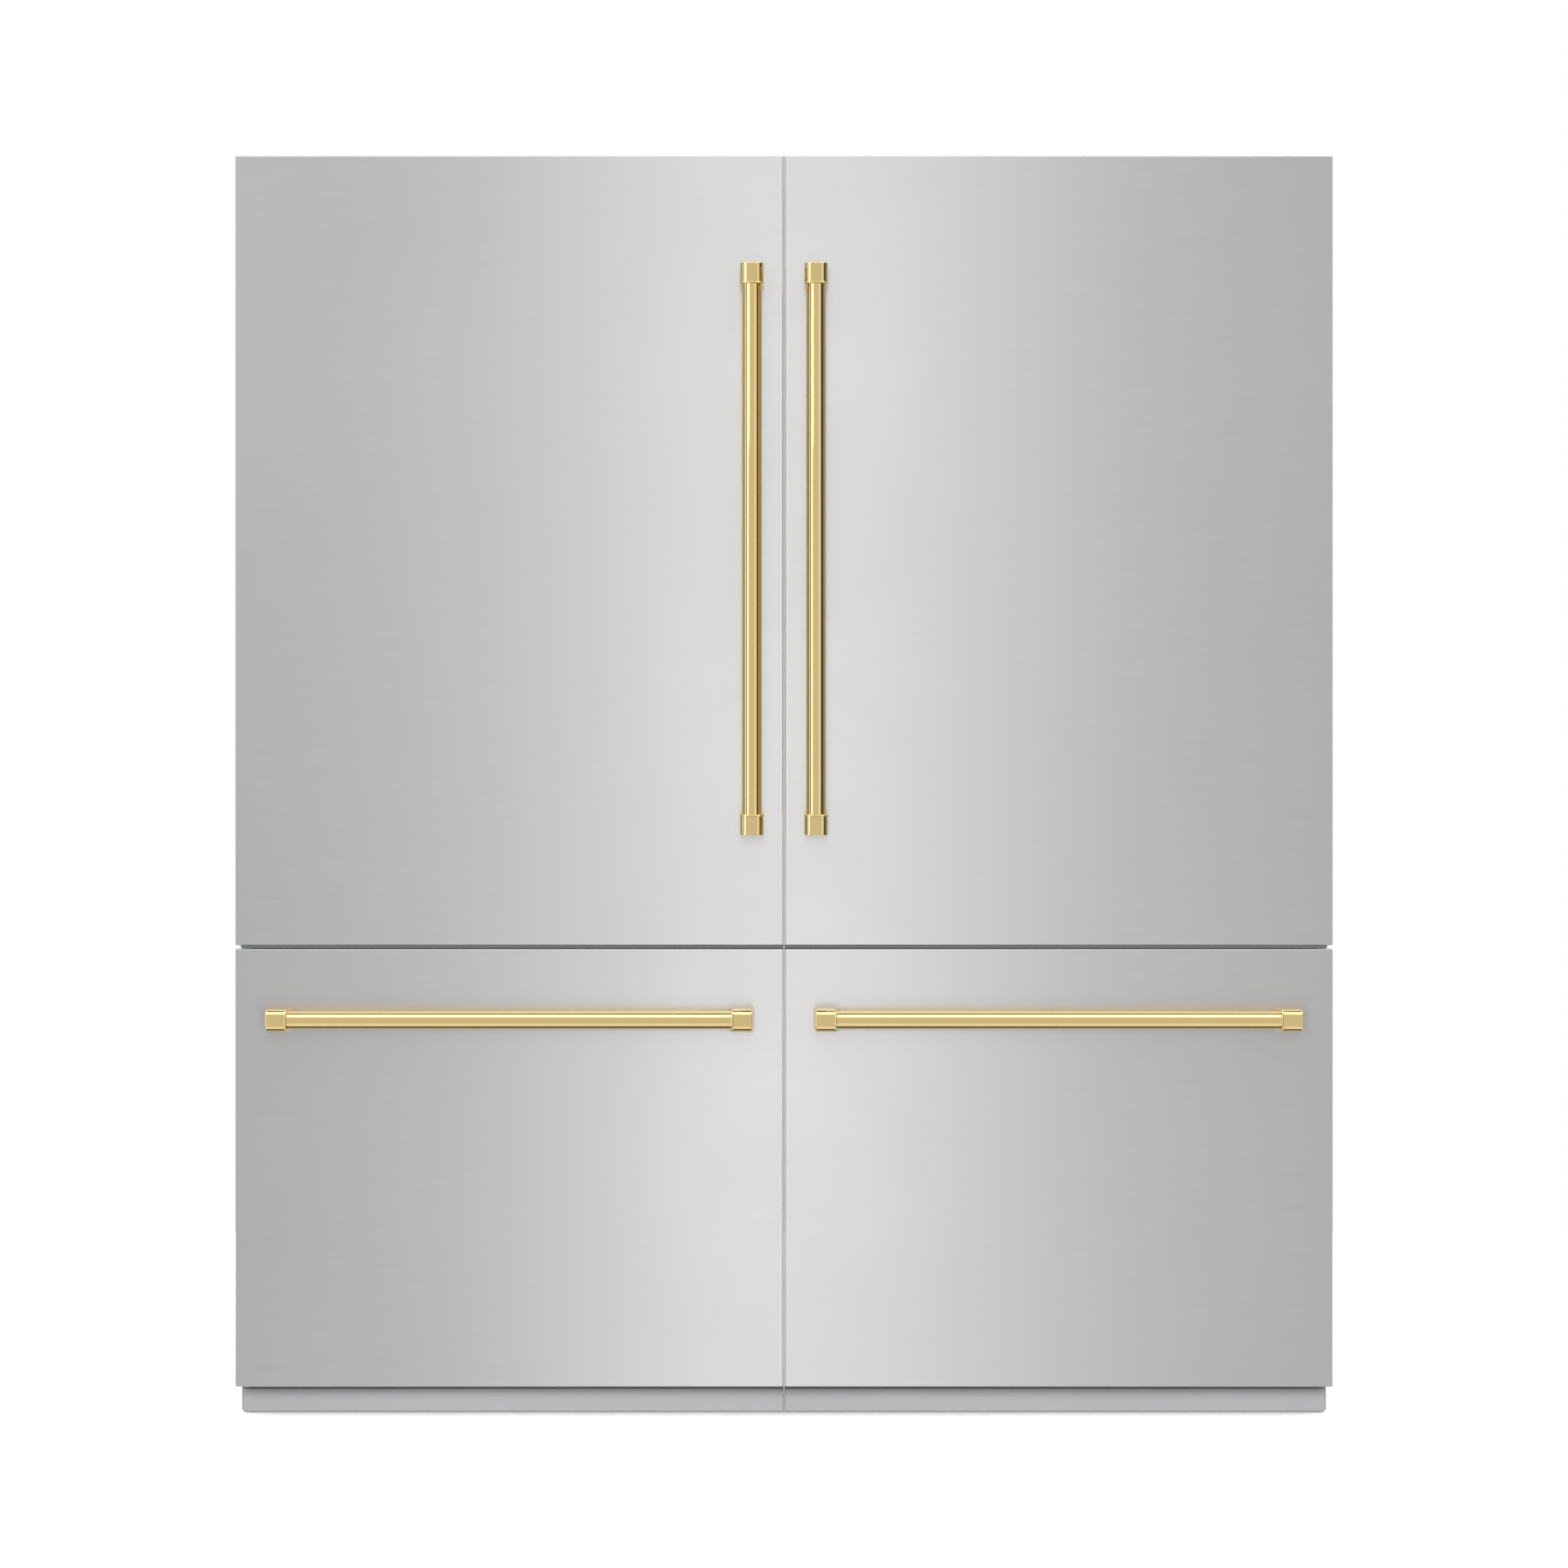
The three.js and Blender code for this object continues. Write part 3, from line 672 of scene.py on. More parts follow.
# %% Door and drawer cores
BAND = ((0, 20.2), (0, 68.5), (1.5, 70), (14, 70), (14, 20.2))
DYKE = ((0, 69), (0.4, 88), (1.6, 92.5), (5, 95.4), (9, 96), (17, 96), (21, 95.4), (24.4, 92.5), (26, 88),
        (28, 74), (31, 70.8), (34, 70), (34, 69))


def lined_core(name, dyke_x, dyke_z):
    """The edge band and the moulded liner behind a front."""
    lo, hi = at(f"{name}_core")
    panel_lo, panel_hi = at(f"{name}_panel")
    spans = ((lo.x, hi.x), (lo.z, hi.z))
    band = lofted(spans, "y", by_depth(BAND), 4 * MM, closed=True)
    backer = block((panel_lo.x + 1.8 * MM, depth(2), panel_lo.z + 1.8 * MM),
                   (panel_hi.x - 1.8 * MM, depth(19), panel_hi.z - 1.8 * MM))
    pair(f"{name}_edge_band", merged(band, backer), GREY_ABS, name, "gasket_grey")
    inset = 14.3 * MM
    plate = lofted(((lo.x + inset, hi.x - inset), (lo.z + inset, hi.z - inset)), "y",
                   by_depth(((0, 21), (0, 69), (0.8, 69.8))), 3 * MM)
    dyke = lofted((dyke_x, dyke_z), "y", by_depth(DYKE), 30 * MM, closed=True, segments=8)
    pair(f"{name}_moulded_liner", merged(plate, dyke), WHITE_ABS, name, "white_liner", [f"{name}_core"])


lined_core("door", mm(59.5, 854), mm(840, 2028))
lined_core("drawer", mm(59.5, 854), mm(120, 712))

# %% [markdown]
# The gasket is a hollow PVC section with a magnet in its flat face. Between its foot in the door and that
# face there is a bellows fold, and the mitred corners are welded.

# %% Gaskets
BELLOWS = ((0, 0), (0, 2.6), (1.8, 4.2), (0.5, 5.8), (0.3, 10.6), (1.1, 11.3), (11.8, 11.3), (14.2, 10.2),
           (14.9, 6.2), (12.6, 4.6), (14.8, 2.9), (14.8, 0))
for name in ("door", "drawer"):
    lo, hi = at(f"{name}_gasket")
    seal = lofted(((lo.x, hi.x), (lo.z, hi.z)), "y", measured(BELLOWS, lo.y), 2 * MM, closed=True, segments=2)
    pair(f"{name}_seal", seal, GREY_PVC, name, "gasket_grey", [f"{name}_gasket"])

# %% [markdown]
# Door bins are moulded in clear polystyrene and hang against the liner. A satin metal strip caps the front
# and sides of each rim.

# %% Door bins
RIM_STRIP = ((-0.8, -14), (-0.8, -0.8), (0, 0), (3.4, 0), (4.2, -0.8), (4.2, -7), (3.3, -7), (3.3, -1.2),
             (-0.1, -1.2), (0.2, -14))
for name in ("bin_lower", "bin_upper"):
    lo, hi = at(name)
    plan = ((lo.x, hi.x), (lo.y, hi.y))
    bin_tub = tub(*plan, (lo.z, hi.z - 1.5 * MM), 3 * MM, 22 * MM, draft=5 * MM, fillet=12 * MM)
    pair(f"{name}_tub", bin_tub, CLEAR, "door", "clear_plastic", [name])
    cap = lofted(plan, "z", measured(RIM_STRIP, hi.z), 22 * MM, closed=True)
    cut(cap, (0, lo.y + 8 * MM, 0), (0, -1, 0), clear_outer=True)
    bmesh.ops.holes_fill(cap, edges=[e for e in cap.edges if len(e.link_faces) == 1])
    pair(f"{name}_rim_strip", cap, SATIN_ALUMINIUM, "door", "stainless")
print("door and drawer bodies done")

# %% [markdown]
# ## Case
# The case is folded from galvanised sheet. One sheet makes both sides and the top, and a flange with a hole
# for each compartment closes the front. The flange is powder coated, as it shows when a door opens. The back
# has pressed beads that stop it from drumming, and it leaves the machine compartment open at the bottom.

# %% Case
CASE_SHEET = 1.2 * MM
COLD_X, COLD_Z = mm(47.5, 866), mm(828, 2040)
FREEZER_X, FREEZER_Z = mm(47.5, 866), mm(108, 724)
CAVITY_BACK = depth(583)
MACHINE_TOP = 296 * MM
x0, x1, y0, y1, z0, z1 = case_lo.x, case_hi.x, case_lo.y, case_hi.y, case_lo.z, case_hi.z
t = CASE_SHEET
PLAY = 0.05 * MM
wrapper = slab([(x0, z0), (x0, z1), (x1, z1), (x1, z0), (x1 - t, z0), (x1 - t, z1 - t), (x0 + t, z1 - t),
                (x0 + t, z0)], "y", y0, y1 - t - PLAY)
inner_x = (x0 + t + PLAY, x1 - t - PLAY)
flange = sheet(inner_x, (z0, z1 - t - PLAY), (y0, y0 + t), [(COLD_X, COLD_Z), (FREEZER_X, FREEZER_Z)])
beads, bead = [(y1 - t, MACHINE_TOP)], 3 * MM
for k in range(6):
    foot = (440 + 290 * k) * MM
    beads += [(y1 - t, foot), (y1 - t - bead, foot + bead), (y1 - t - bead, foot + 5 * bead),
              (y1 - t, foot + 6 * bead)]
beads += [(y1 - t, z1)]
back = slab(beads + [(y + t, z) for y, z in reversed(beads)], "x", x0, x1)
posts = [block((a, y1 - t, z0), (b, y1, MACHINE_TOP))
         for a, b in ((x0 + 0.1 * MM, 31 * MM), (882.4 * MM, x1 - 0.1 * MM))]
pair("case_sheets", merged(wrapper, back, *posts), ZINC_SHEET, "cabinet", "galvanised", ["outer_case"])
pair("front_flange", flange, PAINTED_STEEL, "cabinet", "galvanised")

# %% [markdown]
# A bent plate closes the machine compartment against the foam, over the compressor and in front of it.

# %% Machine compartment plate and screws
plate_x = (x0 + 2 * t, x1 - 2 * t)
front, roof = depth(440), 300 * MM
foot, end = 64 * MM, y1 - 1.6 * MM
bent = slab([(front, foot), (front, roof), (end, roof), (end, roof + t), (front - t, roof + t),
             (front - t, foot)], "x", *plate_x)
pair("machine_plate", bent, ZINC_SHEET, "cabinet", "galvanised")


SCREW_HEAD = ((0, 3.2), (2.4, 3.0), (4.0, 2.0), (4.4, 0.8), (7.0, 0.8), (7.0, 0), (0, 0))


def screw(x, z):
    """A pan head screw with a washer, in the back."""
    return turned(measured(SCREW_HEAD), (x, y1 - 3.3 * MM, z), "y", 20)


heads = [screw(x, z) for x in mm(16, 897) for z in mm(80, 180, 280)]
heads += [screw(x, 2076 * MM) for x in mm(16, 240, 456, 672, 897)]
pair("case_screws", merged(*heads), ZINC_PLATE, "cabinet", "galvanised")

# %% [markdown]
# ## Liners
# Each compartment is one vacuum formed tub with rounded corners, so its open side is deleted from a block,
# the corners and the back are rounded and the wall grows outwards. Ledges for the shelves are part of it. The
# freezer's floor steps up at the back to leave room for the compressor.

# %% Cold liner
LINER_WALL = 2.5 * MM
liner_front = y0 + t + 0.1 * MM
shelf_names = ("shelf_upper", "shelf_lower", "crisper_cover")
cold = hollow(block((COLD_X[0], liner_front, COLD_Z[0]), (COLD_X[1], CAVITY_BACK, COLD_Z[1])), "y-",
              -LINER_WALL, corner=20 * MM, floor=12 * MM)
ledges = []
for top in [at(name)[1].z - 22.3 * MM for name in shelf_names] + list(mm(1192, 1512, 1842)):
    for wall_x, reach in ((COLD_X[0], 12 * MM), (COLD_X[1], -12 * MM)):
        a, b = sorted((wall_x - 0.1 * reach, wall_x + reach))
        ledges.append(block((a, depth(216), top - 10 * MM), (b, depth(577), top), 2.5 * MM))
pair("cold_liner", merged(cold, *ledges), WHITE_ABS, "cabinet", "white_liner", ["foamed_liner"])

# %% Freezer liner
STEP_FRONT, STEP_TOP = depth(396), 344 * MM
outline = [(liner_front, FREEZER_Z[0]), (STEP_FRONT, FREEZER_Z[0]), (STEP_FRONT, STEP_TOP),
           (CAVITY_BACK, STEP_TOP), (CAVITY_BACK, FREEZER_Z[1]), (liner_front, FREEZER_Z[1])]
freezer = hollow(slab(outline, "x", *FREEZER_X), "y-", -LINER_WALL, floor=14 * MM)
pair("freezer_liner", freezer, WHITE_ABS, "cabinet", "white_liner")

# %% [markdown]
# Cold air comes down a flat duct on the back wall through pairs of slots. The freezer's evaporator hides
# behind a slotted cover. A lamp behind an opal lens lights each compartment from its ceiling.

# %% Air duct, evaporator cover and lamps
duct_x = mm(366, 547)
slots = [((x, x + 60 * MM), (z, z + 5 * MM)) for z0_slot in mm(1080, 1250, 1410, 1580, 1740, 1900)
         for z in (z0_slot, z0_slot + 11 * MM) for x in mm(386, 467)]
duct = sheet(duct_x, mm(1060, 2020), (depth(579.4), CAVITY_BACK - 0.2 * MM), slots)
slots = [((x, x + 110 * MM), (z, z + 6 * MM)) for x in mm(110, 260, 410, 560, 700)
         for z in mm(400, 414, 428, 640, 654, 668)]
cover = sheet(mm(76, 838), mm(362, 706), (depth(578.5), CAVITY_BACK - 0.2 * MM), slots)
pair("air_duct", merged(duct, cover), WHITE_ABS, "cabinet", "white_liner")


def on_ceiling(x, y, ceiling, drop, radius):
    """A flat fitting that hangs just under a ceiling."""
    return block((x[0], y[0], ceiling - drop), (x[1], y[1], ceiling - 0.2 * MM), radius)


lens = on_ceiling(mm(300, 614), depths(230, 290), COLD_Z[1], *mm(7, 3))
ice_lens = on_ceiling(mm(380, 534), depths(150, 190), FREEZER_Z[1], *mm(6, 2.5))
pair("lamp_lenses", merged(lens, ice_lens), WHITE_PC, "cabinet", "white_liner")
panel = on_ceiling(mm(330, 584), depths(112, 160), COLD_Z[1], *mm(5, 2))
pair("control_strip", panel, BLACK_NYLON, "cabinet", "black_enamel")

# %% [markdown]
# ## Shelves and crispers
# A shelf is a sheet of tempered glass in a frame. The frame has a front trim, side rails that rest on the
# liner's ledges, and a low stop at the back that keeps packs off the wall.

# %% Shelves
for name in shelf_names:
    lo, hi = at(name)
    top = hi.z - 10 * MM
    glass = block((lo.x + 1.5 * MM, lo.y + 2 * MM, top - 6 * MM), (hi.x - 1.5 * MM, hi.y - 4.2 * MM, top),
                  1.2 * MM)
    pair(f"{name}_glass", glass, GLASS, "cabinet", "shelf_glass", [name])
    trim = block((lo.x, lo.y, top - 12 * MM), (hi.x, lo.y + 12 * MM, top + 0.4 * MM), 1.6 * MM)
    rails = [block((a, lo.y + 12.2 * MM, top - 12 * MM), (b, hi.y - 4.2 * MM, top - 6.2 * MM), 1 * MM)
             for a, b in ((lo.x, lo.x + 14 * MM), (hi.x - 14 * MM, hi.x))]
    stop = block((lo.x, hi.y - 4 * MM, top - 12 * MM), (hi.x, hi.y, hi.z), 1 * MM)
    pair(f"{name}_frame", merged(trim, *rails, stop), SATIN_ALUMINIUM, "cabinet", "stainless")

# %% [markdown]
# The crispers are clear pans under the lowest glass. Each has a rim, and a grip that is moulded across its
# front.

# %% Crispers
for name, body in (("crisper_inner", "inner_crisper"), ("crisper_outer", "outer_crisper")):
    lo, hi = at(name)
    front = depth(235)
    pan = tub((lo.x, hi.x), (front, hi.y), (lo.z, hi.z), 3 * MM, 14 * MM, rim=mm(3, 5), draft=6 * MM,
              fillet=10 * MM)
    pair(f"{name}_pan", pan, CLEAR, body, "clear_plastic", [name])
    grip = slab([(depth(221), 986 * MM), (depth(221), 996 * MM), (depth(224), hi.z - 0.4 * MM),
                 (front + 1 * MM, hi.z - 0.4 * MM), (front + 1 * MM, 992 * MM), (depth(226), 990 * MM),
                 (depth(224.5), 986 * MM)], "x", lo.x + 16 * MM, hi.x - 16 * MM, 0.8 * MM)
    pair(f"{name}_grip", grip, WHITE_ABS, body, "white_liner")

# %% [markdown]
# ## Freezer drawer
# Two telescopic slides carry the drawer front, a stepped basket and a tray above it. The fixed channel is
# screwed to the liner and the moving one runs in it.

# %% Slides
lo, hi = at("drawer_rails")
channel = [(49.5, 468), (61.5, 468), (61.5, 472), (60, 472), (60, 469.5), (51, 469.5), (51, 490.5),
           (60, 490.5), (60, 488), (61.5, 488), (61.5, 492), (49.5, 492)]


def both_sides(profile, front, back):
    """A profile run back along both walls of the freezer, whose x add up to 913.5 mm."""
    return [slab([(x * MM, z * MM) for x, z in points], "y", *depths(front, back))
            for points in (profile, [(913.5 - x, z) for x, z in profile])]


pair("slide_channels", merged(*both_sides(channel, 112, 574)), ZINC_PLATE, "cabinet", "galvanised")
member = [(62, 470), (82, 470), (82, 472), (64, 472), (64, 488), (82, 488), (82, 490), (62, 490)]
rear_bar = block((lo.x + 20 * MM, depth(549), 474 * MM), (hi.x - 20 * MM, depth(559), 488 * MM), 1.5 * MM)
front_plate = block((lo.x, depth(96.4), 464.2 * MM), (hi.x, depth(98.4), 490 * MM), 0.8 * MM)
roller = measured(((0, 0), (8, 0), (8.6, 0.8), (8.6, 4.2), (8, 5), (0, 5)))
ends = [turned(roller, (x, depth(548), 480 * MM), "x", 28) for x in mm(66, 842.5)]
pair("drawer_slides", merged(*both_sides(member, 97, 560), rear_bar, front_plate, *ends), ZINC_PLATE,
     "drawer", "galvanised", ["drawer_rails"])

# %% [markdown]
# The basket's floor follows the step of the liner, so its outline is drawn from the side, extruded across
# and hollowed from the top. Flat lips at both sides hang on the slides.

# %% Basket
lo, hi = at("freezer_basket")
RIM = 4 * MM
BEAD = ((0, -9), (0, -0.6), (0.6, 0), (4, 0), (4.6, -0.6), (4.6, -9), (3.7, -9), (3.7, -1.1), (0.5, -1.1),
        (0.5, -9))
step, shelf, brim = depth(378), 360 * MM, hi.z - 1 * MM
side_view = [(lo.y, lo.z), (step, lo.z), (step, shelf), (hi.y, shelf), (hi.y, brim), (lo.y, brim)]
basket = hollow(slab(side_view, "x", 92 * MM, 821.5 * MM), "z+", 3 * MM, corner=16 * MM, floor=9 * MM)
lips = [block((a * MM, lo.y + 2 * MM, hi.z - RIM), (b * MM, hi.y - 2 * MM, hi.z), 1.2 * MM)
        for a, b in ((76, 92.6), (820.9, 837.5))]
pair("basket_tub", merged(basket, *lips), CLEAR, "drawer", "clear_plastic", ["freezer_basket"])
bead = lofted((mm(91.4, 822.1), (lo.y - 0.4 * MM, hi.y + 0.4 * MM)), "z", measured(BEAD, hi.z), 16.5 * MM,
              closed=True)
pair("basket_bead", bead, WHITE_ABS, "drawer", "white_liner")

# %% [markdown]
# The tray is a shallow tub with a divider. It slides back and forth over the basket on its own rim.

# %% Tray
lo, hi = at("freezer_tray")
pan = tub((lo.x, hi.x), (lo.y, hi.y), (lo.z, hi.z), 3 * MM, 18 * MM, rim=mm(5, 6), draft=5 * MM,
          fillet=10 * MM)
divider = block((455 * MM, lo.y + 9 * MM, lo.z + 3.2 * MM), (458 * MM, hi.y - 9 * MM, hi.z - 12 * MM), 1 * MM)
pair("tray_tub", merged(pan, divider), CLEAR, "tray", "clear_plastic", ["freezer_tray"])
grip = block((380 * MM, lo.y - 0.6 * MM, hi.z - 22 * MM), (534 * MM, lo.y + 4.6 * MM, hi.z - 6.5 * MM),
             2 * MM)
pair("tray_grip", grip, WHITE_ABS, "tray", "white_liner")
print("freezer drawer done")

# %% [markdown]
# ## Machine compartment
# The compressor is two deep drawn shells welded at a seam, standing on rubber feet. Its copper pipes lead to
# the condenser, which is a stack of aluminium fins on bent copper tube, and a fan blows along the fins.

# %% Compressor
lo, hi = at("compressor")
centre = ((lo.x + hi.x) / 2, (lo.y + hi.y) / 2)
base = lo.z
shell = [(0, 13), (52, 13), (66, 17), (74, 26), (77.4, 40), (78, 54), (78, 92), (81, 92), (81, 97), (78, 97),
         (78, 104), (77, 122), (72, 140), (60, 156), (42, 167), (22, 172), (0, 174)]
pot = turned(measured(shell, base), (*centre, 0), "z", 48)
plate_plan = [(c - half, c + half) for c, half in zip(centre, mm(94, 74))]
foot_plate = lofted(plate_plan, "z", measured(((0, 9), (0, 12.4), (0.6, 13)), base), 18 * MM)
pair("compressor_shell", merged(pot, foot_plate), ENAMEL, "cabinet", "black_enamel", ["compressor"])
grommet = [(4, 0), (13, 0), (14, 1), (14, 7), (11, 8.6), (11, 14), (13, 15), (13, 19), (11, 21), (4, 21),
           (4, 0)]
feet = [turned(measured(grommet, base), (centre[0] + i * 76 * MM, centre[1] + j * 56 * MM, 0), "z", 24)
        for i in (-1, 1) for j in (-1, 1)]
box = block((centre[0] - 30 * MM, centre[1] + 66 * MM, base + 50 * MM),
            (centre[0] + 34 * MM, centre[1] + 88 * MM, base + 106 * MM), 4 * MM)
pair("compressor_feet_and_box", merged(*feet, box), BLACK_NYLON, "cabinet", "black_enamel")

# %% Condenser fins and tubes
lo, hi = at("condenser")
FIN_X, FIN_Y = (lo.x, 380 * MM), depths(460, 610)
FINS, FIN_PITCH = 38, 5


def fin(z, thickness):
    """A level plate across the tubes."""
    return block((FIN_X[0], FIN_Y[0], z), (FIN_X[1], FIN_Y[1], z + thickness))


fins = [fin(lo.z + (8 + FIN_PITCH * k) * MM, 0.8 * MM) for k in range(FINS)]
end_plates = [fin(z, 1.6 * MM) for z in (lo.z + 2 * MM, hi.z - 12 * MM)]
pair("condenser_fins", merged(*fins, *end_plates), FIN_STOCK, "cabinet", "fin_aluminium", ["condenser"])
tubes = []
for y in depths(478, 512, 558, 592):
    for k in range(3):
        a, b = (174 + 64 * k) * MM, (206 + 64 * k) * MM
        low, high = lo.z + 1 * MM, hi.z - 1 * MM
        tubes.append(pipe([(a, y, low), (a, y, high), (b, y, high), (b, y, low)], 4 * MM, bend=15 * MM))
pair("condenser_tubes", merged(*tubes), COPPER, "cabinet", "fin_aluminium")

# %% Fan in its hood
FAN_X, FAN_RADIUS, BLADES = 398 * MM, 76 * MM, 5
BLADE = ((16, -14), (68, -26), (72, 4), (66, 30), (16, 12))
square = ((depth(450), depth(620)), (lo.z, hi.z))
mouth_y, mouth_z = depth(535), (lo.z + hi.z) / 2
mouth = rounded(*[(c - FAN_RADIUS, c + FAN_RADIUS) for c in (mouth_y, mouth_z)], FAN_RADIUS, 12)
box_outline = rounded(*square, 6 * MM, 12)
near, far = mm(380.4, 419.6)
hood = skin([(box_outline, near), (box_outline, far), (mouth, far), (mouth, near)], "x", closed=True)
blades = []
for k in range(BLADES):
    blade = slab(measured(BLADE), "x", *mm(-1, 1), 0.4 * MM)
    for angle, axis in ((math.radians(28), "Y"), (k * 2 * math.pi / BLADES, "X")):
        bmesh.ops.rotate(blade, cent=(0, 0, 0), matrix=Matrix.Rotation(angle, 3, axis), verts=blade.verts)
    blades.append(moved(blade, (FAN_X, mouth_y, mouth_z)))
hub = turned(measured(((0, -12), (15, -12), (18, -8), (18, 12), (0, 12))), (FAN_X, mouth_y, mouth_z), "x", 32)
motor = turned(measured(((0, 0), (26, 0), (28, 2), (28, 22), (24, 26), (0, 26))),
               (412 * MM, mouth_y, mouth_z), "x", 32)
arms = [block((x, mouth_y - dy, mouth_z - dz), (x + 4 * MM, mouth_y + dy, mouth_z + dz), 1 * MM)
        for x, dy, dz in (mm(424, 3, 92), mm(424.5, 80, 3))]
pair("condenser_fan", merged(hood, *blades, hub, motor, *arms), BLACK_NYLON, "cabinet", "black_enamel")

# %% Refrigerant pipes
cx, cy = centre


def from_shell(x, y, z):
    """A point beside the compressor, in millimetres from the middle of its base."""
    return (cx + x * MM, cy + y * MM, base + z * MM)


turn_x, wall_x, coil_x = mm(450, 850, 366)
discharge, suction = from_shell(-60, -60, 225), from_shell(60, 55, 205)
across_z = base + 228 * MM
lines = [pipe([from_shell(-40, -50, 120), discharge, (turn_x, *discharge[1:]), (turn_x, depth(470), across_z),
               (coil_x, depth(470), across_z), (coil_x, depth(478), hi.z - 2 * MM)], 3.2 * MM),
         pipe([from_shell(30, 40, 130), suction, (wall_x, *suction[1:]), (wall_x, cy - 60 * MM, suction[2]),
               (wall_x, depth(452), 296 * MM)], 4.8 * MM),
         pipe([from_shell(-68, 20, 70), from_shell(-100, 20, 70), from_shell(-100, 20, 150)], 4 * MM)]
pair("refrigerant_pipes", merged(*lines), COPPER, "cabinet", "fin_aluminium")
print(len(made_pieces), "pieces made")

# %% [markdown]
# ## Camera and light
# The camera looks straight at the fronts from 8 metres, level with their middle, through a long lens, so the
# doors stay true rectangles.

# %% Camera
CAMERA_DISTANCE = 8.0
FRAME_WIDTH = 2.6136
EYE_HEIGHT = 1.0548
camera_data = bpy.data.cameras.new("camera")
camera_data.sensor_width = 36.0
camera_data.lens = camera_data.sensor_width * CAMERA_DISTANCE / FRAME_WIDTH
camera_data.clip_end = 100.0
camera = bpy.data.objects.new("camera", camera_data)
camera.location = (0, FRONT - CAMERA_DISTANCE, EYE_HEIGHT)
camera.rotation_euler = (math.pi / 2, 0, 0)
bpy.context.scene.collection.objects.link(camera)
bpy.context.scene.camera = camera

# %% [markdown]
# The room is described by how bright it is in each compass direction, from straight behind the object round
# to the left, the front and the right. Dark screens at both sides edge the gold bars. Steep directions have
# their own levels: a bright ceiling with a dark middle, which also keeps the floor pale, and a pale ground
# with a dark patch straight below.

# %% Room
COMPASS = ((-180, 0.8), (-97, 0.8), (-94, 1.2), (-80, 1.2), (-78, 0.05), (-70, 0.05), (-68, 0.66), (22, 0.67),
           (32, 0.82), (40, 0.9), (57, 0.86), (63, 0.06), (90, 0.05), (93, 0.8), (180, 0.8))
HEIGHTS = ((-1, 0.06), (-0.968, 0.06), (-0.955, 0.9), (-0.64, 0.9), (-0.5, 0.68), (0.5, 0.66), (0.64, 1.1),
           (0.75, 2.0), (0.93, 2.3), (0.965, 2.0), (0.98, 0.05), (1, 0.05))
STEEP_FROM, STEEP_TO = 0.5, 0.6


def by_table(tree, factor, table):
    """A brightness read from a table of (value, level) pairs."""
    first, last = table[0][0], table[-1][0]
    brightest = max(level for value, level in table)
    share = add_node(tree, "ShaderNodeMapRange", {"Value": factor, "From Min": first, "From Max": last})
    ramp = add_node(tree, "ShaderNodeValToRGB", {"Fac": share.outputs["Result"]})
    stops = ramp.color_ramp.elements
    stops.remove(stops[1])
    for k, (value, level) in enumerate(table):
        stop = stops[0] if k == 0 else stops.new((value - first) / (last - first))
        stop.color = (*[level / brightest] * 3, 1)
    whole = add_node(tree, "ShaderNodeMath", {0: ramp.outputs["Color"], 1: brightest}, operation="MULTIPLY")
    return whole.outputs["Value"]


world = bpy.data.worlds.new("studio")
bpy.context.scene.world = world
world.use_nodes = True
room = world.node_tree
background = room.nodes["Background"]
direction = add_node(room, "ShaderNodeTexCoord").outputs["Generated"]
parts = add_node(room, "ShaderNodeSeparateXYZ", {"Vector": direction}).outputs
towards = add_node(room, "ShaderNodeMath", {0: parts["Y"], 1: -1.0}, operation="MULTIPLY").outputs["Value"]
radians = add_node(room, "ShaderNodeMath", {0: parts["X"], 1: towards}, operation="ARCTAN2").outputs["Value"]
degrees = add_node(room, "ShaderNodeMath", {0: radians}, operation="DEGREES").outputs["Value"]
steepness = add_node(room, "ShaderNodeMath", {0: parts["Z"]}, operation="ABSOLUTE").outputs["Value"]
steep = add_node(room, "ShaderNodeMapRange", {"Value": steepness, "From Min": STEEP_FROM,
                                              "From Max": STEEP_TO})
around = by_table(room, degrees, COMPASS)
upright = by_table(room, parts["Z"], HEIGHTS)
whole = add_node(room, "ShaderNodeMix", {0: steep.outputs["Result"], 2: around, 3: upright})
seen = add_node(room, "ShaderNodeLightPath").outputs["Is Camera Ray"]
strength = add_node(room, "ShaderNodeMix", {0: seen, 2: whole.outputs[0], 3: 1.0})
room.links.new(strength.outputs[0], background.inputs["Strength"])
background.inputs["Color"].default_value = (1, 1, 1, 1)

# %% [markdown]
# A studio would set up softboxes, and light linking lets each one work on one finish. A tall strip in front
# of the seam works on the steel, and its blurred mirror image gives the fronts their slow falloff towards
# both sides. A wide low lamp lights the plinth, and a strip at the left draws the sharp lines on the gold.
# The key lamp lights everything a little from the upper left.

# %% Lamps
def soft_lamp(name, place, target, size, radiance):
    """A rectangular softbox with a given brightness that faces a point and isn't seen itself."""
    data = bpy.data.lights.new(name, "AREA")
    data.shape = "RECTANGLE"
    data.size, data.size_y = size
    data.energy = radiance * math.pi * size[0] * size[1]
    lamp = bpy.data.objects.new(name, data)
    lamp.location = place
    lamp.rotation_euler = (Vector(target) - Vector(place)).to_track_quat("-Z", "Y").to_euler()
    lamp.visible_camera = False
    bpy.context.scene.collection.objects.link(lamp)
    return lamp


def collection_of(name, pieces):
    """A collection that only says which pieces a lamp works on."""
    group = bpy.data.collections.new(name)
    for piece in pieces:
        group.objects.link(piece)
    return group


def finished_in(*materials):
    """The pieces that have one of the materials."""
    return [piece for piece in made_pieces if piece.data.materials[0] in materials]


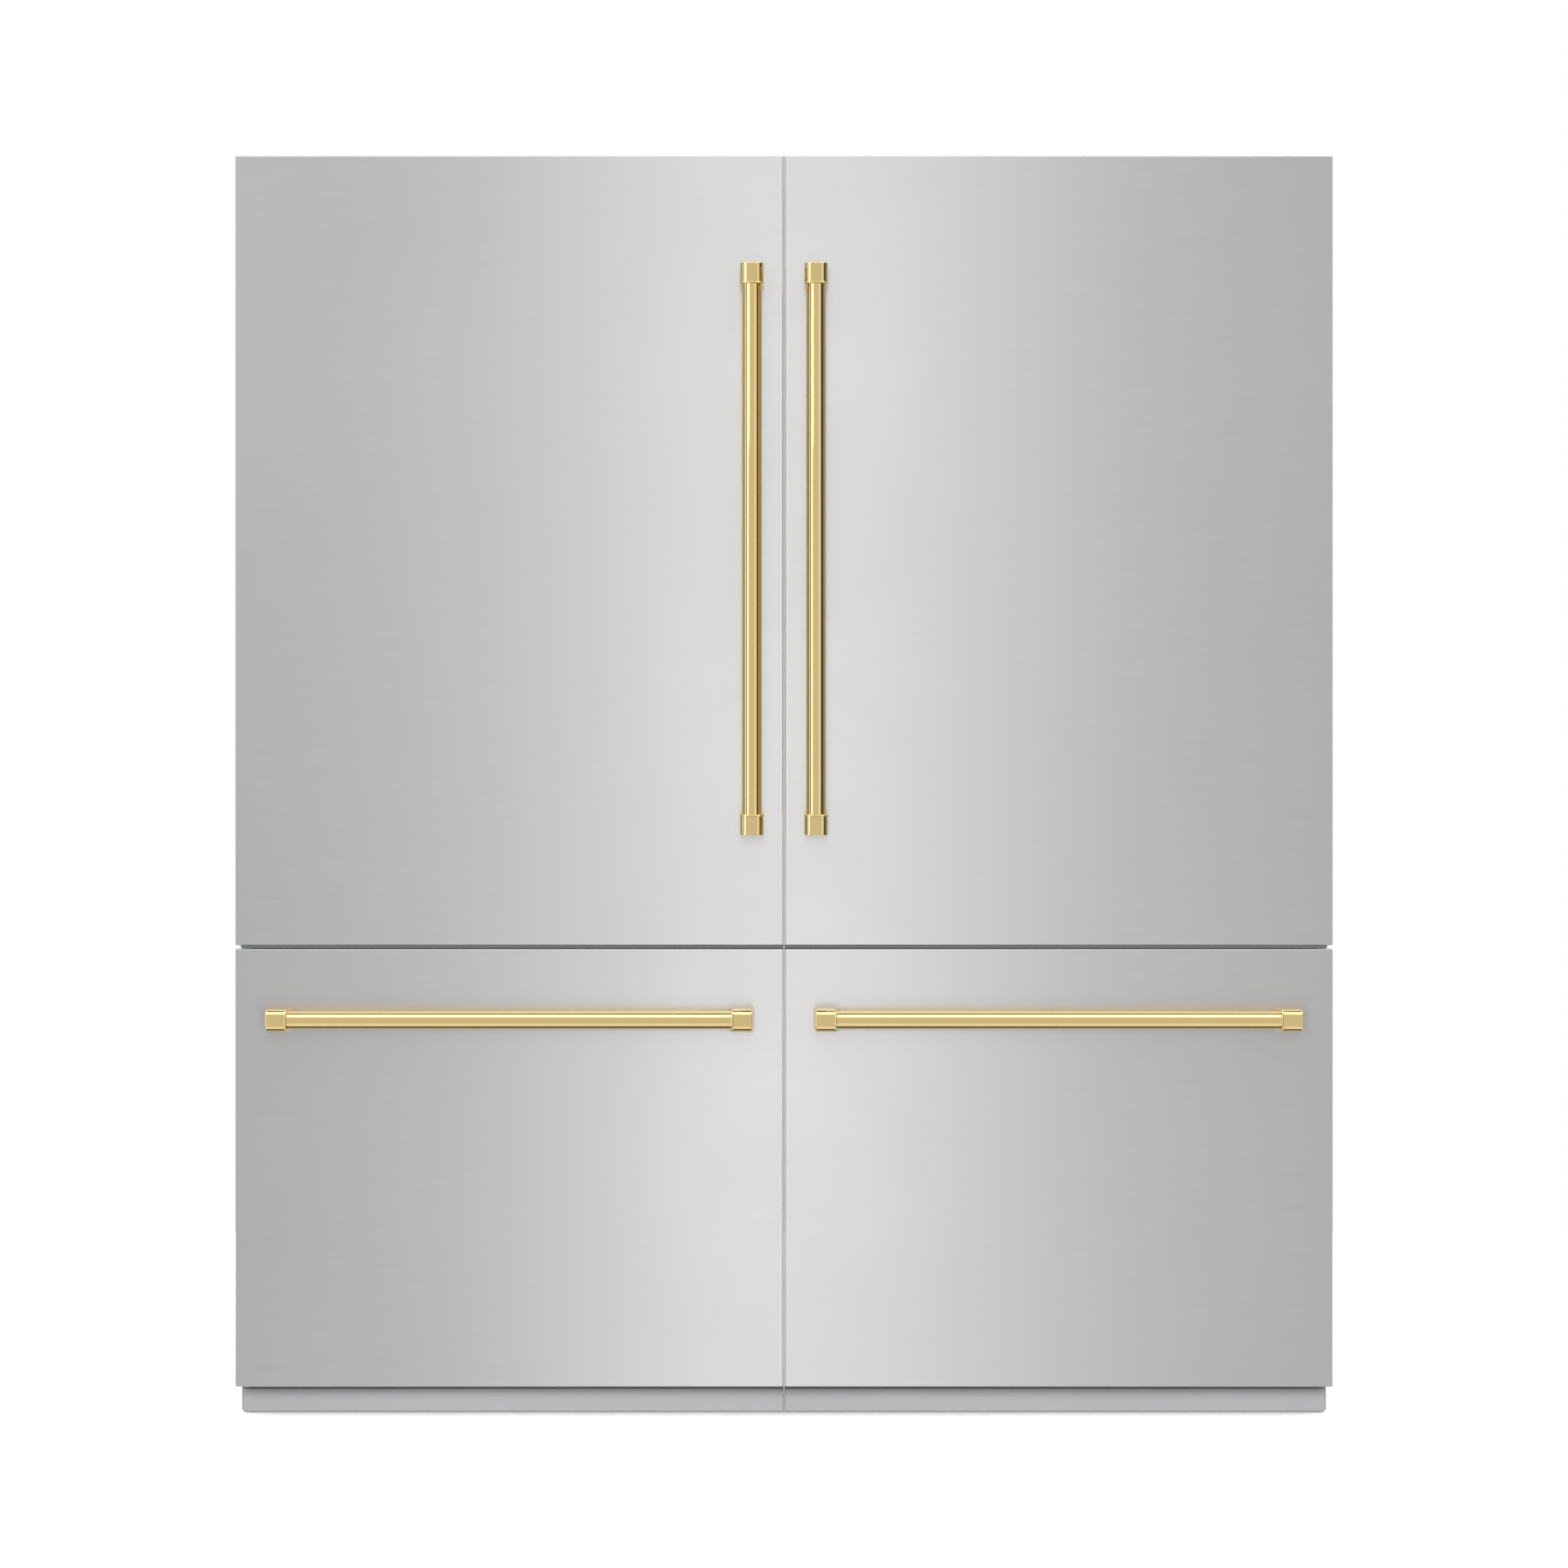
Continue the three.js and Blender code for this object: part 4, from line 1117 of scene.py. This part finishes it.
LAMP_HEIGHT = 1.05
middle = (0, FRONT, LAMP_HEIGHT)
strip = soft_lamp("front_strip", (0, FRONT - 3.2, LAMP_HEIGHT), middle, (0.36, 6.0), 2.55)
strip.light_linking.receiver_collection = collection_of("steel_fronts", finished_in(STEEL, SHADED_PLINTH_STEEL))
strip.light_linking.blocker_collection = collection_of("pieces_that_shade", made_pieces)
wash = soft_lamp("plinth_wash", (0, FRONT - 2.5, 0.9), (0, FRONT, 0.02), (5.0, 0.95), 13.0)
wash.light_linking.receiver_collection = collection_of("plinths", finished_in(SHADED_PLINTH_STEEL))
side, away = math.radians(-51), 4.5
glint = soft_lamp("side_strip", (away * math.sin(side), FRONT - away * math.cos(side), 1.2), middle,
                  (1.3, 6.0), 1.8)
glint.light_linking.receiver_collection = collection_of("gold_parts", finished_in(GOLD))
soft_lamp("key", (-1.9, FRONT - 3.0, 2.3), middle, (0.9, 0.9), 0.7)

# %% [markdown]
# The floor is matt white paint. It glows a little, so that it stays white right up to the plinth, and it is
# kept out of reflections.

# %% Floor
FLOOR_HALF, FLOOR_GLOW = 3.0, 0.35
floor_mesh = bpy.data.meshes.new("floor")
floor_bm = bmesh.new()
bmesh.ops.create_grid(floor_bm, x_segments=1, y_segments=1, size=FLOOR_HALF)
floor_bm.to_mesh(floor_mesh)
floor_bm.free()
floor = bpy.data.objects.new("floor", floor_mesh)
bpy.context.scene.collection.objects.link(floor)
paint, tree, shader = surface("matt_white_floor", Roughness=0.9)
tree.links.new(tint(tree, noise(tree, 800), "#f6f6f6", "#f8f8f8"), shader.inputs["Base Color"])
shader.inputs["Emission Color"].default_value = linear("#ffffff")
shader.inputs["Emission Strength"].default_value = FLOOR_GLOW
floor_mesh.materials.append(paint)
floor.visible_glossy = False
bpy.context.scene.view_settings.view_transform = "Standard"

# %% [markdown]
# ## CAD nodes that stay
# The base pan, its feet and the hinge plates are flat plates and pins, and the CAD model already has them
# right, so they only get their finish.

# %% Finish the CAD nodes that still show
CARRIED = {"base_chassis": ZINC_SHEET, "hinge_upper": ZINC_PLATE, "hinge_lower": ZINC_PLATE}
for node_name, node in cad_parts.items():
    finish = CARRIED.get(node_name.split("_", 1)[1])
    if finish:
        node.data.materials.clear()
        node.data.materials.append(finish)
